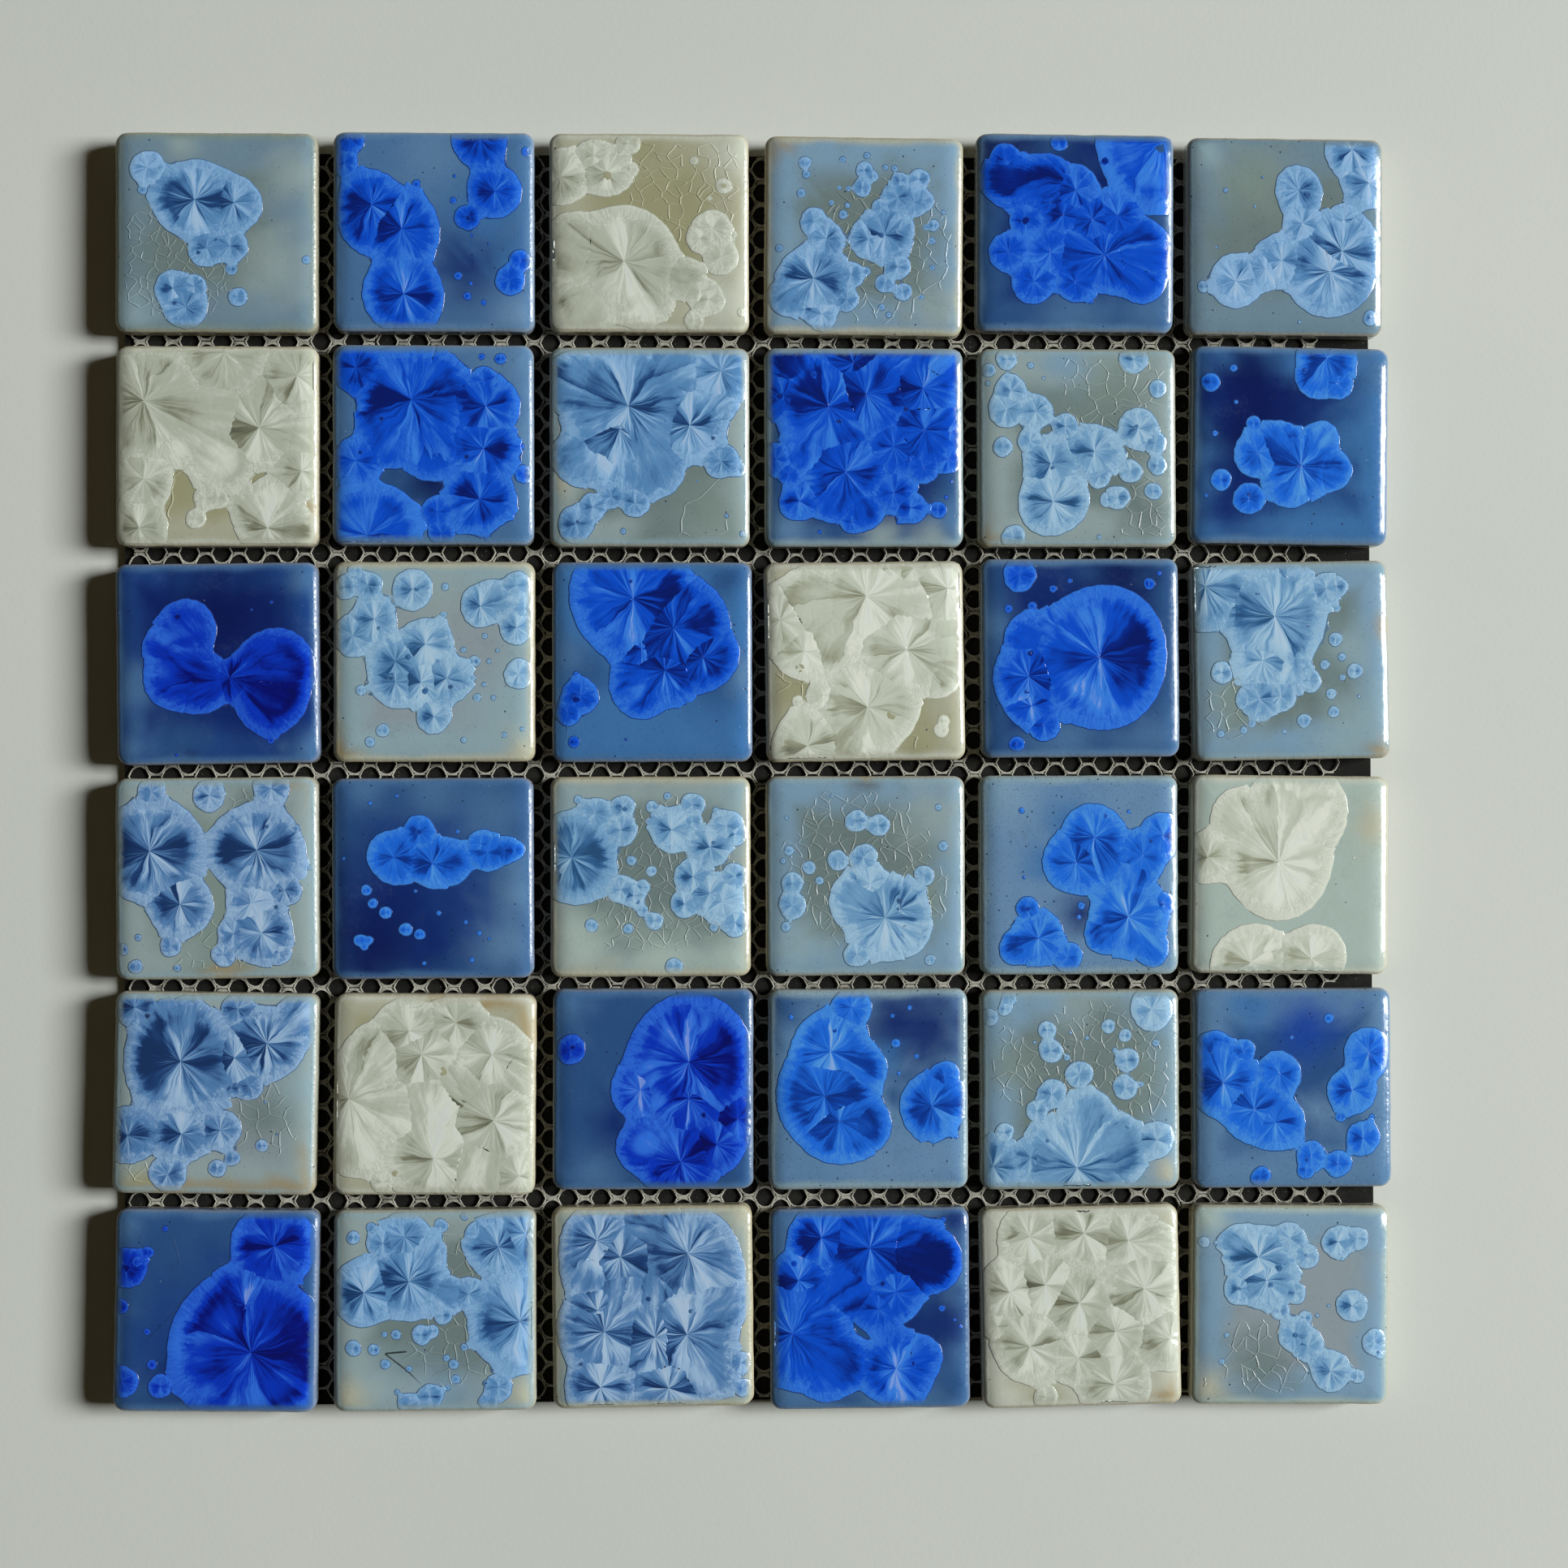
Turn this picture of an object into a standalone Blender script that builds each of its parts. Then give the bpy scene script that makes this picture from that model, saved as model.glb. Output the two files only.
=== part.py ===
"""A sheet of ceramic mosaic tiles: six rows of six crystal-glazed square tiles, laid by hand.

The tiles are stuck, glaze up, on a knitted mounting net. The net lies on a thin rubber backing
sheet. The whole sheet lies flat: +Z is up out of the glaze, +X and +Y run along the joints, and
the origin is under the middle of the sheet, on its underside. Metres throughout.
"""
import math

import bmesh
import bpy
from mathutils import Matrix, Vector

MM = 0.001

# Driving dimensions.
TILES_PER_SIDE = 6
PITCH = 51 * MM             # one tile and one grout joint
TILE_SIDE = 47.5 * MM
TILE_THICKNESS = 6.0 * MM
CORNER_RADIUS = 2.6 * MM    # seen from above
EDGE_RADIUS = 1.4 * MM      # where the glaze rolls over the top edge
FOOT_CHAMFER = 0.4 * MM     # bottom arris
CORNER_STEPS = 4
EDGE_STEPS = 3

BACKING_SIZE = Vector((298.6 * MM, 298.0 * MM))
BACKING_THICKNESS = 1.5 * MM
BACKING_CORNER = 2.0 * MM
NET_SIZE = Vector((291.0 * MM, 297.4 * MM))
NET_THICKNESS = 0.5 * MM
CLEARANCE = 0.3 * MM        # between pieces that touch

# Where the net and the backing sheet lie under the tiles: both were cut a little small.
BACKING_SHIFT = Vector((-1.0 * MM, -1.6 * MM))
NET_SHIFT = Vector((-4.2 * MM, -0.9 * MM))

NET_BOTTOM = BACKING_THICKNESS + CLEARANCE
TILE_BOTTOM = NET_BOTTOM + NET_THICKNESS + CLEARANCE

# Tiles that were set noticeably off the grid, by (row, column) from the top left:
# slipped right and up in millimetres, and turned anticlockwise in degrees.
SETTING = {
    (1, 1): (-0.2, -0.4, 0.0),
    (1, 4): (0.1, -0.5, -0.5),
    (1, 5): (-0.3, 0.5, -0.4),
    (1, 6): (-0.7, -0.2, -0.4),
    (2, 2): (-0.2, 0.4, 0.0),
    (2, 6): (0.2, 0.6, -0.9),
    (3, 1): (0.1, -0.4, 0.7),
    (3, 3): (0.5, -0.1, 0.0),
    (3, 4): (0.0, 0.0, 0.7),
    (3, 5): (0.5, 0.8, 0.3),
    (3, 6): (0.2, 0.1, 0.9),
    (4, 1): (0.0, 0.0, 0.5),
    (4, 2): (-0.4, -0.2, 0.2),
    (4, 6): (-0.4, -0.1, -0.7),
    (5, 1): (-0.4, 0.4, -1.2),
    (5, 2): (0.0, -0.2, -0.6),
    (5, 3): (0.5, 0.7, -0.2),
    (5, 4): (0.5, 0.4, 0.0),
    (6, 1): (-0.2, 0.4, -1.0),
    (6, 3): (0.3, 0.4, 0.5),
    (6, 4): (0.7, -0.5, 0.2),
    (6, 5): (-0.1, -0.5, 1.0),
    (6, 6): (-0.9, -0.6, -0.7),
}

# Glaze family of each tile, row by row: C cobalt blue, G grey celadon, I ivory.
GLAZES = ("GCIGCG",
          "ICGCGC",
          "CGCICG",
          "GCGGCI",
          "GICCGC",
          "CGGCIG")


def clear_scene():
    for item in list(bpy.data.objects):
        bpy.data.objects.remove(item, do_unlink=True)


def principled(name, colour, roughness, metallic=0.0, coat=0.0):
    material = bpy.data.materials.new(name)
    material.use_nodes = True
    shader = material.node_tree.nodes["Principled BSDF"]
    shader.inputs["Base Color"].default_value = (*colour, 1.0)
    shader.inputs["Roughness"].default_value = roughness
    shader.inputs["Metallic"].default_value = metallic
    shader.inputs["Coat Weight"].default_value = coat
    material.diffuse_color = (*colour, 1.0)
    return material


def rounded_rectangle(width, depth, radius, steps):
    """Points anticlockwise round a rectangle with round corners, centred on the origin."""
    points = []
    for corner in range(4):
        start = corner * math.pi / 2
        across = 1 if corner in (0, 3) else -1
        along = 1 if corner in (0, 1) else -1
        centre = Vector((across * (width / 2 - radius), along * (depth / 2 - radius)))
        for step in range(steps + 1):
            angle = start + step / steps * math.pi / 2
            points.append(centre + radius * Vector((math.cos(angle), math.sin(angle))))
    return points


def stacked_slab(name, levels):
    """A closed slab through the given levels, each a (height, outline), from the bottom up."""
    shape = bmesh.new()
    rings = []
    for height, outline in levels:
        rings.append([shape.verts.new((point.x, point.y, height)) for point in outline])
    for lower, upper in zip(rings, rings[1:]):
        count = len(lower)
        for index in range(count):
            following = (index + 1) % count
            shape.faces.new((lower[index], lower[following], upper[following], upper[index]))
    shape.faces.new(reversed(rings[0]))
    shape.faces.new(rings[-1])
    mesh = bpy.data.meshes.new(name)
    shape.to_mesh(mesh)
    shape.free()
    return mesh


def tile_mesh():
    """One tile, its underside on z = 0: square sides, round corners and a rolled top edge."""
    def outline(inset):
        side = TILE_SIDE - 2 * inset
        return rounded_rectangle(side, side, CORNER_RADIUS - inset, CORNER_STEPS)

    levels = [(0.0, outline(FOOT_CHAMFER)), (FOOT_CHAMFER, outline(0.0))]
    for step in range(EDGE_STEPS + 1):
        angle = step / EDGE_STEPS * math.pi / 2
        inset = EDGE_RADIUS * (1 - math.cos(angle))
        height = TILE_THICKNESS - EDGE_RADIUS * (1 - math.sin(angle))
        levels.append((height, outline(inset)))
    return stacked_slab("tile", levels)


def add_object(name, mesh, material, place=Matrix.Identity(4)):
    item = bpy.data.objects.new(name, mesh)
    bpy.context.collection.objects.link(item)
    item.matrix_world = place
    if not mesh.materials:
        mesh.materials.append(None)
    item.material_slots[0].link = "OBJECT"
    item.material_slots[0].material = material
    return item


def tile_place(row, column):
    """Where the middle of a tile's underside lies, and how the tile is turned."""
    slip_right, slip_up, turn = SETTING.get((row, column), (0.0, 0.0, 0.0))
    middle = (TILES_PER_SIDE + 1) / 2
    x = (column - middle) * PITCH + slip_right * MM
    y = (middle - row) * PITCH + slip_up * MM
    return Matrix.Translation((x, y, TILE_BOTTOM)) @ Matrix.Rotation(math.radians(turn), 4, "Z")


def lay_tiles():
    glazes = {
        "C": principled("cobalt glaze", (0.022, 0.060, 0.235), 0.12, coat=0.6),
        "G": principled("celadon glaze", (0.190, 0.270, 0.330), 0.12, coat=0.6),
        "I": principled("ivory glaze", (0.300, 0.310, 0.230), 0.12, coat=0.6),
    }
    mesh = tile_mesh()
    mesh.shade_smooth()
    mesh.set_sharp_from_angle(angle=math.radians(40))
    tiles = []
    for row in range(1, TILES_PER_SIDE + 1):
        for column in range(1, TILES_PER_SIDE + 1):
            glaze = glazes[GLAZES[row - 1][column - 1]]
            name = f"tile_r{row}_c{column}"
            tiles.append(add_object(name, mesh, glaze, tile_place(row, column)))
    return tiles


def flat_sheet(name, size, thickness, corner, bottom, shift, material):
    """A plain flat sheet with round corners."""
    outline = [point + shift for point in rounded_rectangle(size.x, size.y, corner, CORNER_STEPS)]
    mesh = stacked_slab(name, [(bottom, outline), (bottom + thickness, outline)])
    return add_object(name, mesh, material)


def centre_on_origin(items):
    """Moves all items sideways together, so that their common box is centred on the origin."""
    bpy.context.view_layer.update()
    corners = [item.matrix_world @ vertex.co for item in items for vertex in item.data.vertices]
    middle_x = (min(p.x for p in corners) + max(p.x for p in corners)) / 2
    middle_y = (min(p.y for p in corners) + max(p.y for p in corners)) / 2
    for item in items:
        item.location -= Vector((middle_x, middle_y, 0.0))


def build():
    clear_scene()
    items = lay_tiles()
    rubber = principled("black rubber", (0.009, 0.010, 0.009), 0.85)
    yarn = principled("net yarn", (0.42, 0.42, 0.36), 0.90)
    items.append(flat_sheet("backing_sheet", BACKING_SIZE, BACKING_THICKNESS, BACKING_CORNER,
                            0.0, BACKING_SHIFT, rubber))
    items.append(flat_sheet("net", NET_SIZE, NET_THICKNESS, BACKING_CORNER,
                            NET_BOTTOM, NET_SHIFT, yarn))
    centre_on_origin(items)


build()
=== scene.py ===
import math
from functools import partial

import bpy
import numpy as np
from mathutils import Euler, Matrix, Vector
from mathutils.geometry import delaunay_2d_cdt


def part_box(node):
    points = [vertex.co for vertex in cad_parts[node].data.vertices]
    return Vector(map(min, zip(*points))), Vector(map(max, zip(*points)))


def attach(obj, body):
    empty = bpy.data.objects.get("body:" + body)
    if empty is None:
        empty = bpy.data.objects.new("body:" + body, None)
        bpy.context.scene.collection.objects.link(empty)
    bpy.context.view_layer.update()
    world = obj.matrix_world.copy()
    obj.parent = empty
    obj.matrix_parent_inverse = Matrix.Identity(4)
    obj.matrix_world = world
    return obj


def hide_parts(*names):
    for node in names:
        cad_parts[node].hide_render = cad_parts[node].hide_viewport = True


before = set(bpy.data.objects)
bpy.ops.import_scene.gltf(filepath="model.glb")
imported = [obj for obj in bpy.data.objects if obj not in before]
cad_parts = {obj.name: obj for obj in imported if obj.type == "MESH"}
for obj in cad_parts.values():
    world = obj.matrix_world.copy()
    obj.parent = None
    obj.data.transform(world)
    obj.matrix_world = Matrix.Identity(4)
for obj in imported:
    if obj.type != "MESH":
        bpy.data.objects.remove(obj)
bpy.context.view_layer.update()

MM = 0.001              # a millimetre in metres

# ---------------------------------------------------------------- finishes


class Value:
    """A number, colour or direction that changes over a surface. Arithmetic adds Math nodes."""

    def __init__(self, finish, socket):
        self.finish, self.socket = finish, socket

    def math(self, operation, *others):
        return self.finish.add("Math", {"operation": operation}, (self, *others))

    def __add__(self, other):
        return self.math("ADD", other)

    def __mul__(self, other):
        return self.math("MULTIPLY", other)

    def __sub__(self, other):
        return self.math("SUBTRACT", other)

    def __truediv__(self, other):
        return self.math("DIVIDE", other)

    def __rsub__(self, other):
        return self.finish.add("Math", {"operation": "SUBTRACT"}, (other, self))

    __radd__ = __add__
    __rmul__ = __mul__

    def size(self):
        return self.math("ABSOLUTE")

    def least(self, other):
        return self.math("MINIMUM", other)

    def most(self, other):
        return self.math("MAXIMUM", other)

    def ramp(self, low, high, start=0.0, end=1.0):
        """Goes smoothly from start to end while this value goes from low to high."""
        return self.finish.add("MapRange", {"interpolation_type": "SMOOTHSTEP"},
                               (self, low, high, start, end))

    def parts(self):
        return self.finish.add("SeparateXYZ", {}, (self,), ("X", "Y", "Z"))


class Finish:
    """A material in the making: a Principled shader and what feeds it."""

    def __init__(self, name, **plain):
        self.material = bpy.data.materials.new(name)
        self.material.use_nodes = True
        self.tree = self.material.node_tree
        self.shader = self.tree.nodes["Principled BSDF"]
        for socket, number in plain.items():
            self.shader.inputs[socket.replace("_", " ")].default_value = number

    def feed(self, socket, value):
        if isinstance(value, Value):
            self.tree.links.new(value.socket, socket)
        elif isinstance(value, tuple) and len(value) == 3 and socket.type == "RGBA":
            socket.default_value = (*value, 1.0)
        else:
            socket.default_value = value

    def add(self, kind, settings, inputs, wanted=(0,)):
        """Adds one node, and gives back its wanted outputs. Inputs go in order, or by name."""
        node = self.tree.nodes.new("ShaderNode" + kind)
        for setting, choice in settings.items():
            setattr(node, setting, choice)
        named = inputs.items() if isinstance(inputs, dict) else enumerate(inputs)
        for key, value in named:
            self.feed(node.inputs[key], value)
        outputs = [Value(self, node.outputs[key]) for key in wanted]
        return outputs[0] if len(outputs) == 1 else outputs

    def trait(self, name, output="Vector"):
        """What the mesh's points know under this name."""
        return self.add("Attribute", {"attribute_name": name}, (), (output,))

    def place(self, scale=1.0):
        """Where the point is on the object, in millimetres times scale."""
        spot = self.add("TexCoord", {}, (), ("Object",))
        return self.add("VectorMath", {"operation": "SCALE"}, {0: spot, "Scale": scale / MM})

    def join(self, x, y, z):
        return self.add("CombineXYZ", {}, (x, y, z))

    def noise(self, at, scale, detail=2.0, roughness=0.5):
        return self.add("TexNoise", {}, {"Vector": at, "Scale": scale, "Detail": detail,
                                         "Roughness": roughness})

    def cells(self, at, scale):
        """A random number for each cell, the distance from its middle, and where that is."""
        colour, distance, middle = self.add("TexVoronoi", {}, {"Vector": at, "Scale": scale},
                                            ("Color", "Distance", "Position"))
        return colour.parts()[0], distance, middle

    def creases(self, at):
        """The distance from the nearest border between two cells."""
        return self.add("TexVoronoi", {"feature": "DISTANCE_TO_EDGE"},
                        {"Vector": at, "Scale": 1.0}, ("Distance",))

    def lean(self, at, middle):
        """How far east, north and up a place is from the middle of its cell."""
        return self.add("VectorMath", {"operation": "SUBTRACT"}, (at, middle)).parts()

    def dots(self, at, scale, inner, outer, share, soft=0.1):
        """Round dots, one in each cell whose random number is in the topmost share."""
        chance, away, _ = self.cells(at, scale)
        return away.ramp(inner, outer, 1.0, 0.0) * (chance - 1.0 + share).ramp(0.0, soft)

    def mix(self, share, first, second):
        return self.add("Mix", {"data_type": "RGBA"}, {0: share, 6: first, 7: second}, (2,))

    def bump(self, height, depth, strength=1.0):
        self.give("Normal", self.add("Bump", {}, {"Height": height, "Distance": depth * MM,
                                                  "Strength": strength}))

    def give(self, socket, value):
        self.feed(self.shader.inputs[socket], value)


def seen(red, green, blue, light=0.70):
    """The base colour that looks like this screen colour under the studio light."""
    def straight(level):
        level /= 255
        return level / 12.92 if level <= 0.04045 else ((level + 0.055) / 1.055) ** 2.4
    return tuple(min(straight(level) / light, 1.0) for level in (red, green, blue))


OCHRE = seen(146, 130, 92)
BISCUIT = seen(186, 178, 156)


def crystal_tone(finish, low, span, rim_tone, frost, needles):
    """How light a crystal is at each point, from a dark needle at 0 to a pale rim at 1, with painted
    sheen and shade.

    low and span set the tones of the core, and rim_tone the rim's. frost is how mixed the tones
    are where rim and core meet, and needles how strongly the finest needles show. The ray from
    the nucleus and the crystal's habit come with the mesh. Gives back the crystal's crumbs and
    its relief as well.
    """
    east, north, size = finish.trait("ray").parts()
    depth, rim, seed = finish.trait("grain").parts()
    shift, bow, rough = finish.trait("habit").parts()
    bend = finish.noise(finish.place(), 0.16, 2.0)
    drift = (bend - 0.5) * (east * east + north * north).math("SQRT").least(6.0) * 0.45
    east, north = east + drift, north - drift
    length = (east * east + north * north).math("SQRT")
    across, along = east / length.most(0.02), north / length.most(0.02)

    def rays(spread, stretch, start, sway=0.0):
        """Coordinates that make a pattern run out along the needles."""
        return finish.join(across * spread + sway, along * spread - sway,
                           length * stretch + seed + start)

    # Broad fans, fine silk, petals folded like paper with painted shade across each one, and the
    # fibres and plumes of the rim.
    spot = finish.place()
    broad = finish.noise(rays(1.0, 0.025, 0.0), 1.0, 3.0, 0.55)
    silk = finish.noise(rays(2.6, 0.040, 7.0), 1.0, 6.0, 0.68)
    petals = rays(1.15, 0.035, 3.0, (silk - 0.5) * 0.35)
    petal, _, petal_middle = finish.cells(petals, 1.0)
    lean_east, lean_north, _ = finish.lean(petals, petal_middle)
    # Painted shade: each petal lighter on one side and darker on the other, as if lit across its fold.
    painted_fold_shade = lean_east * (petal - 0.5) * 2.4 + lean_north * (0.85 - petal) * 1.6
    width = size * 2.0 + 1.0
    fibre = finish.noise(finish.join(across * width, along * width, seed + length * 0.30),
                         1.0, 4.0, 0.6)
    plume = finish.noise(finish.join(across * width * 0.25, along * width * 0.25, seed), 1.0, 2.0)

    # The core: a painted sheen like a bow tie, bright where the needles run up and down, dark where
    # they run across and darker to one side; silk and needles show best where the painted sheen does.
    painted_sheen = (along.size() - across.size() * 0.9) * bow.size() * 0.62 + across * bow * 0.34
    spike = finish.noise(rays(5.5, 0.02, 21.0), 1.0, 3.0, 0.75)
    spiked = length.ramp(size * 0.08, size * 0.75, 1.0, 0.0) * (painted_sheen.size() + 0.5)
    crease = finish.creases(petals).ramp(0.0, 0.07, -0.5, 0.0)
    fan = (broad - 0.5) * 1.5 + painted_fold_shade * 0.60 + (petal - 0.5) * 0.85 + crease * petal
    fan = fan + (silk - 0.5) * (painted_sheen + 1.2) * 2.2 + (spike - 0.5) * spiked * needles
    young = (size * -0.11 + 0.92).most(0.0)
    fan = fan * (1 - young)
    pinch = length.ramp(0.0, 0.8, 0.5, 1.0)
    shoulder = (depth - rim).ramp(0.2, 4.0, -0.12, 0.0)
    core = (painted_sheen + fan * pinch) * span + low + young * 0.26 + shoulder + shift

    # Where rim and core meet: shards that lie every way, and crumbs.
    shard, _, shard_middle = finish.cells(spot, 0.55)
    shard_east, shard_north, _ = finish.lean(spot, shard_middle)
    turned = (shard_north * (shard - 0.5) * 3.0 + shard_east * (0.9 - shard) * 1.5).math("SINE")
    crumb = finish.noise(spot, 1.9, 3.0)
    mixed = turned * 0.22 + (shard - 0.5) * 0.22 + (crumb - 0.5)
    edge_tone = (fibre - 0.5) * 0.62 + rim_tone + shift * 0.4 + (crumb - 0.5) * 0.12

    # The rim feathers into the core; the larger the crystal, the looser.
    loose = (size * 0.16).least(1.0)
    feather = depth - rim + ((fibre - 0.5) * 2.6 + (plume - 0.5) * 3.6) * loose
    inside = feather.ramp(loose * -1.6, loose * 2.2)
    between = feather.size().ramp(0.1, loose * 1.3 + 0.1, 1.0, 0.0) * rough
    tone = edge_tone * (1 - inside) + core * inside + mixed * (between * frost + 0.05)
    relief = silk * 0.9 + fibre * 0.5 + crumb * (between * 0.6 + 0.12)
    return tone.least(1.2).most(-0.25), crumb, relief


def crystal_finish(name, outline, **tones):
    """Zinc crystals: silky needles fanned out from a nucleus, with a paler feathery rim.

    outline is how dark the line round a crystal is: partly its own dark edge, partly painted shade
    where its raised edge rises from the glaze. The three shades of the tile's own glaze and the
    crystal's depth, which is how far a point is in from its edge, come with the mesh.
    """
    finish = Finish(name, Roughness=0.16, IOR=1.52, Coat_Weight=0.25, Coat_Roughness=0.10)
    tone, crumb, relief = crystal_tone(finish, **tones)
    depth, _, _ = finish.trait("grain").parts()
    deep, body = finish.trait("deep", "Color"), finish.trait("body", "Color")
    pale = finish.trait("pale", "Color")
    colour = finish.mix(tone.ramp(0.0, 0.5), deep, body)
    colour = finish.mix(tone.ramp(0.48, 1.0), colour, pale)
    colour = finish.mix(tone.ramp(1.0, 1.3, 0.0, 0.35), colour, (0.8, 0.88, 1.0))
    colour = finish.mix(tone.ramp(-0.25, 0.06, 0.40, 0.0), colour, (0.004, 0.006, 0.030))
    # The line round the crystal: its own dark edge, and painted shade where its raised edge meets the
    # glaze.
    line = depth.ramp(0.10, 0.30, outline, 0.0)
    colour = finish.mix(depth.ramp(0.25, 0.9, 0.20, 0.0), colour, pale)
    colour = finish.mix(line, colour, finish.mix(0.55, deep, (0.03, 0.035, 0.04)))
    worn = (finish.trait("verge", "Fac") + (crumb - 0.5) * 1.6).ramp(1.1, 2.5, 0.85, 0.0)
    finish.give("Base Color", finish.mix(worn, colour, finish.trait("glaze", "Color")))
    finish.bump(relief, 0.05)
    return finish.material


def glaze_finish(name):
    """The clear glossy glaze between the crystals: pooled colour, crackle, pinholes and stains."""
    finish = Finish(name, IOR=1.52, Coat_Roughness=0.06)
    spot = finish.place()
    stain, ridge, specks = finish.trait("wear").parts()
    cloud = finish.noise(spot, 0.16, 3.0)
    mottle = finish.noise(spot, 1.1, 3.0)
    grain = finish.noise(spot, 4.5, 2.0)

    base = finish.trait("glaze", "Color")
    shade = (cloud - 0.5) * 0.30 + (mottle - 0.5) * 0.16 + (grain - 0.5) * 0.10
    colour = finish.mix(shade.ramp(-0.22, 0.0, 0.30, 0.0), base, (0.01, 0.02, 0.04))
    colour = finish.mix(shade.ramp(0.0, 0.22, 0.0, 0.07), colour, (0.50, 0.68, 0.88))

    # Pinholes, fine specks, blue dust near the sides, and a few white specks.
    verge = finish.trait("verge", "Fac")
    dusty = verge.ramp(1.5, 6.5, 1.0, 0.0) * specks.ramp(0.70, 1.0, 0.0, 0.55)
    dot = finish.dots(spot, 0.42, 0.07, 0.13, specks, 0.06)
    fine = finish.dots(spot, 1.35, 0.10, 0.22, specks * 0.75)
    dust = finish.dots(spot, 2.7, 0.16, 0.30, dusty)
    white = finish.dots(spot, 0.30, 0.02, 0.05, 0.26, 0.05)
    colour = finish.mix((dot * 0.8).most(fine * 0.55).most(dust * 0.65), colour,
                        (0.012, 0.025, 0.09))
    colour = finish.mix(white * 0.55, colour, (0.72, 0.78, 0.80))

    # Healed cracks are a little paler and hairs darker, and ochre stains have soaked in.
    colour = finish.mix(ridge * 0.06, colour, (0.62, 0.66, 0.62))
    colour = finish.mix(ridge * -0.92, colour, (0.020, 0.024, 0.028))
    soak = (mottle * 0.5 + cloud * 0.5 + stain - 1.15).ramp(0.0, 0.35)
    colour = finish.mix(soak * 0.45, colour, OCHRE)
    finish.give("Base Color", colour)
    # The rolled edge is beaded, and matt where handling dulled it.
    rolled = verge.ramp(0.9, 1.7, 1.0, 0.0)
    beads = finish.noise(spot, 0.9, 2.0)
    worn = rolled * finish.trait("dull", "Fac")
    matt = worn * beads.ramp(0.34, 0.62, 0.34, 0.05)
    finish.give("Coat Weight", (0.30 - worn * 0.28) * (1 - ridge.size() * 0.8))
    finish.give("Roughness", mottle.ramp(0.3, 0.7, 0.10, 0.20) + soak * 0.2
                + ridge.size() * 0.30 + matt)
    finish.bump(beads * rolled * 1.3 + mottle * 0.25 + grain * 0.10 + cloud * 1.2 - dot * 0.4, 0.06)
    return finish.material


def biscuit_finish():
    """Bare fired clay on the tile's foot and underside, a little smutty."""
    finish = Finish("biscuit", Roughness=0.85)
    spot = finish.place()
    grain, smut = finish.noise(spot, 3.5, 4.0), finish.noise(spot, 0.35, 3.0)
    colour = finish.mix(grain.ramp(0.35, 0.7), seen(150, 140, 118), BISCUIT)
    finish.give("Base Color", finish.mix(smut.ramp(0.5, 0.8, 0.0, 0.5), colour, (0.16, 0.13, 0.09)))
    finish.bump(grain, 0.15)
    return finish.material


def rubber_finish():
    """Matt black sheet rubber, with the dust that collects in the joints."""
    finish = Finish("black rubber sheet", Roughness=0.88, IOR=1.35)
    spot = finish.place()
    grain, cloud = finish.noise(spot, 3.2, 4.0), finish.noise(spot, 0.22, 3.0)
    grit = finish.dots(spot, 1.1, 0.10, 0.26, 0.20)
    colour = finish.mix(grain.ramp(0.35, 0.75), (0.005, 0.005, 0.004), (0.016, 0.016, 0.014))
    colour = finish.mix(cloud.ramp(0.45, 0.75, 0.0, 0.25), colour, (0.040, 0.039, 0.032))
    finish.give("Base Color", finish.mix(grit * 0.6, colour, (0.16, 0.16, 0.13)))
    finish.bump(grain * 0.7 + grit * 0.6, 0.12)
    return finish.material


def yarn_finish():
    """Pale knitting yarn, gone grey with cement dust."""
    finish = Finish("net yarn", Roughness=0.9, Sheen_Weight=0.15)
    spot = finish.place()
    twist = finish.noise(spot, 5.0, 3.0)
    grime = finish.noise(spot, 0.4, 3.0)
    colour = finish.mix(twist.ramp(0.35, 0.7), (0.32, 0.31, 0.26), (0.66, 0.66, 0.58))
    finish.give("Base Color", finish.mix(grime.ramp(0.45, 0.75, 0.0, 0.75), colour,
                                         (0.06, 0.058, 0.048)))
    finish.bump(twist, 0.05)
    return finish.material


def table_finish():
    """Pale paint on the table, faintly cloudy."""
    finish = Finish("painted table", Roughness=0.55)
    spot = finish.place()
    cloud, grain = finish.noise(spot, 0.006, 3.0), finish.noise(spot, 0.9, 3.0)
    colour = finish.mix(cloud.ramp(0.3, 0.7), (0.700, 0.748, 0.712), (0.725, 0.768, 0.722))
    finish.give("Base Color", finish.mix(grain.ramp(0.60, 0.80, 0.0, 0.10), colour,
                                         (0.50, 0.54, 0.50)))
    finish.bump(grain, 0.02)
    return finish.material


# The three glaze families, by the letter that the layout uses.
FAMILIES = {
    "C": {"word": "cobalt",
          "crystal": crystal_finish("cobalt crystals", outline=0.85, low=0.46, span=0.58,
                                    rim_tone=0.80, frost=0.30, needles=5.0)},
    "G": {"word": "celadon",
          "crystal": crystal_finish("celadon crystals", outline=0.75, low=0.53, span=0.76,
                                    rim_tone=0.80, frost=0.45, needles=6.0)},
    "I": {"word": "ivory",
          "crystal": crystal_finish("ivory crystals", outline=0.35, low=0.64, span=0.54,
                                    rim_tone=0.74, frost=0.38, needles=3.4)},
}
for kin in FAMILIES.values():
    kin["slot"] = kin["word"] + "_glaze"
    kin["glaze"] = glaze_finish(kin["word"] + " glaze")
BISCUIT_FINISH = biscuit_finish()
LAYOUT = ("GCIGCG",
          "ICGCGC",
          "CGCICG",
          "GCGGCI",
          "GICCGC",
          "CGGCIG")

# ---------------------------------------------------------------- recipes

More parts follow.
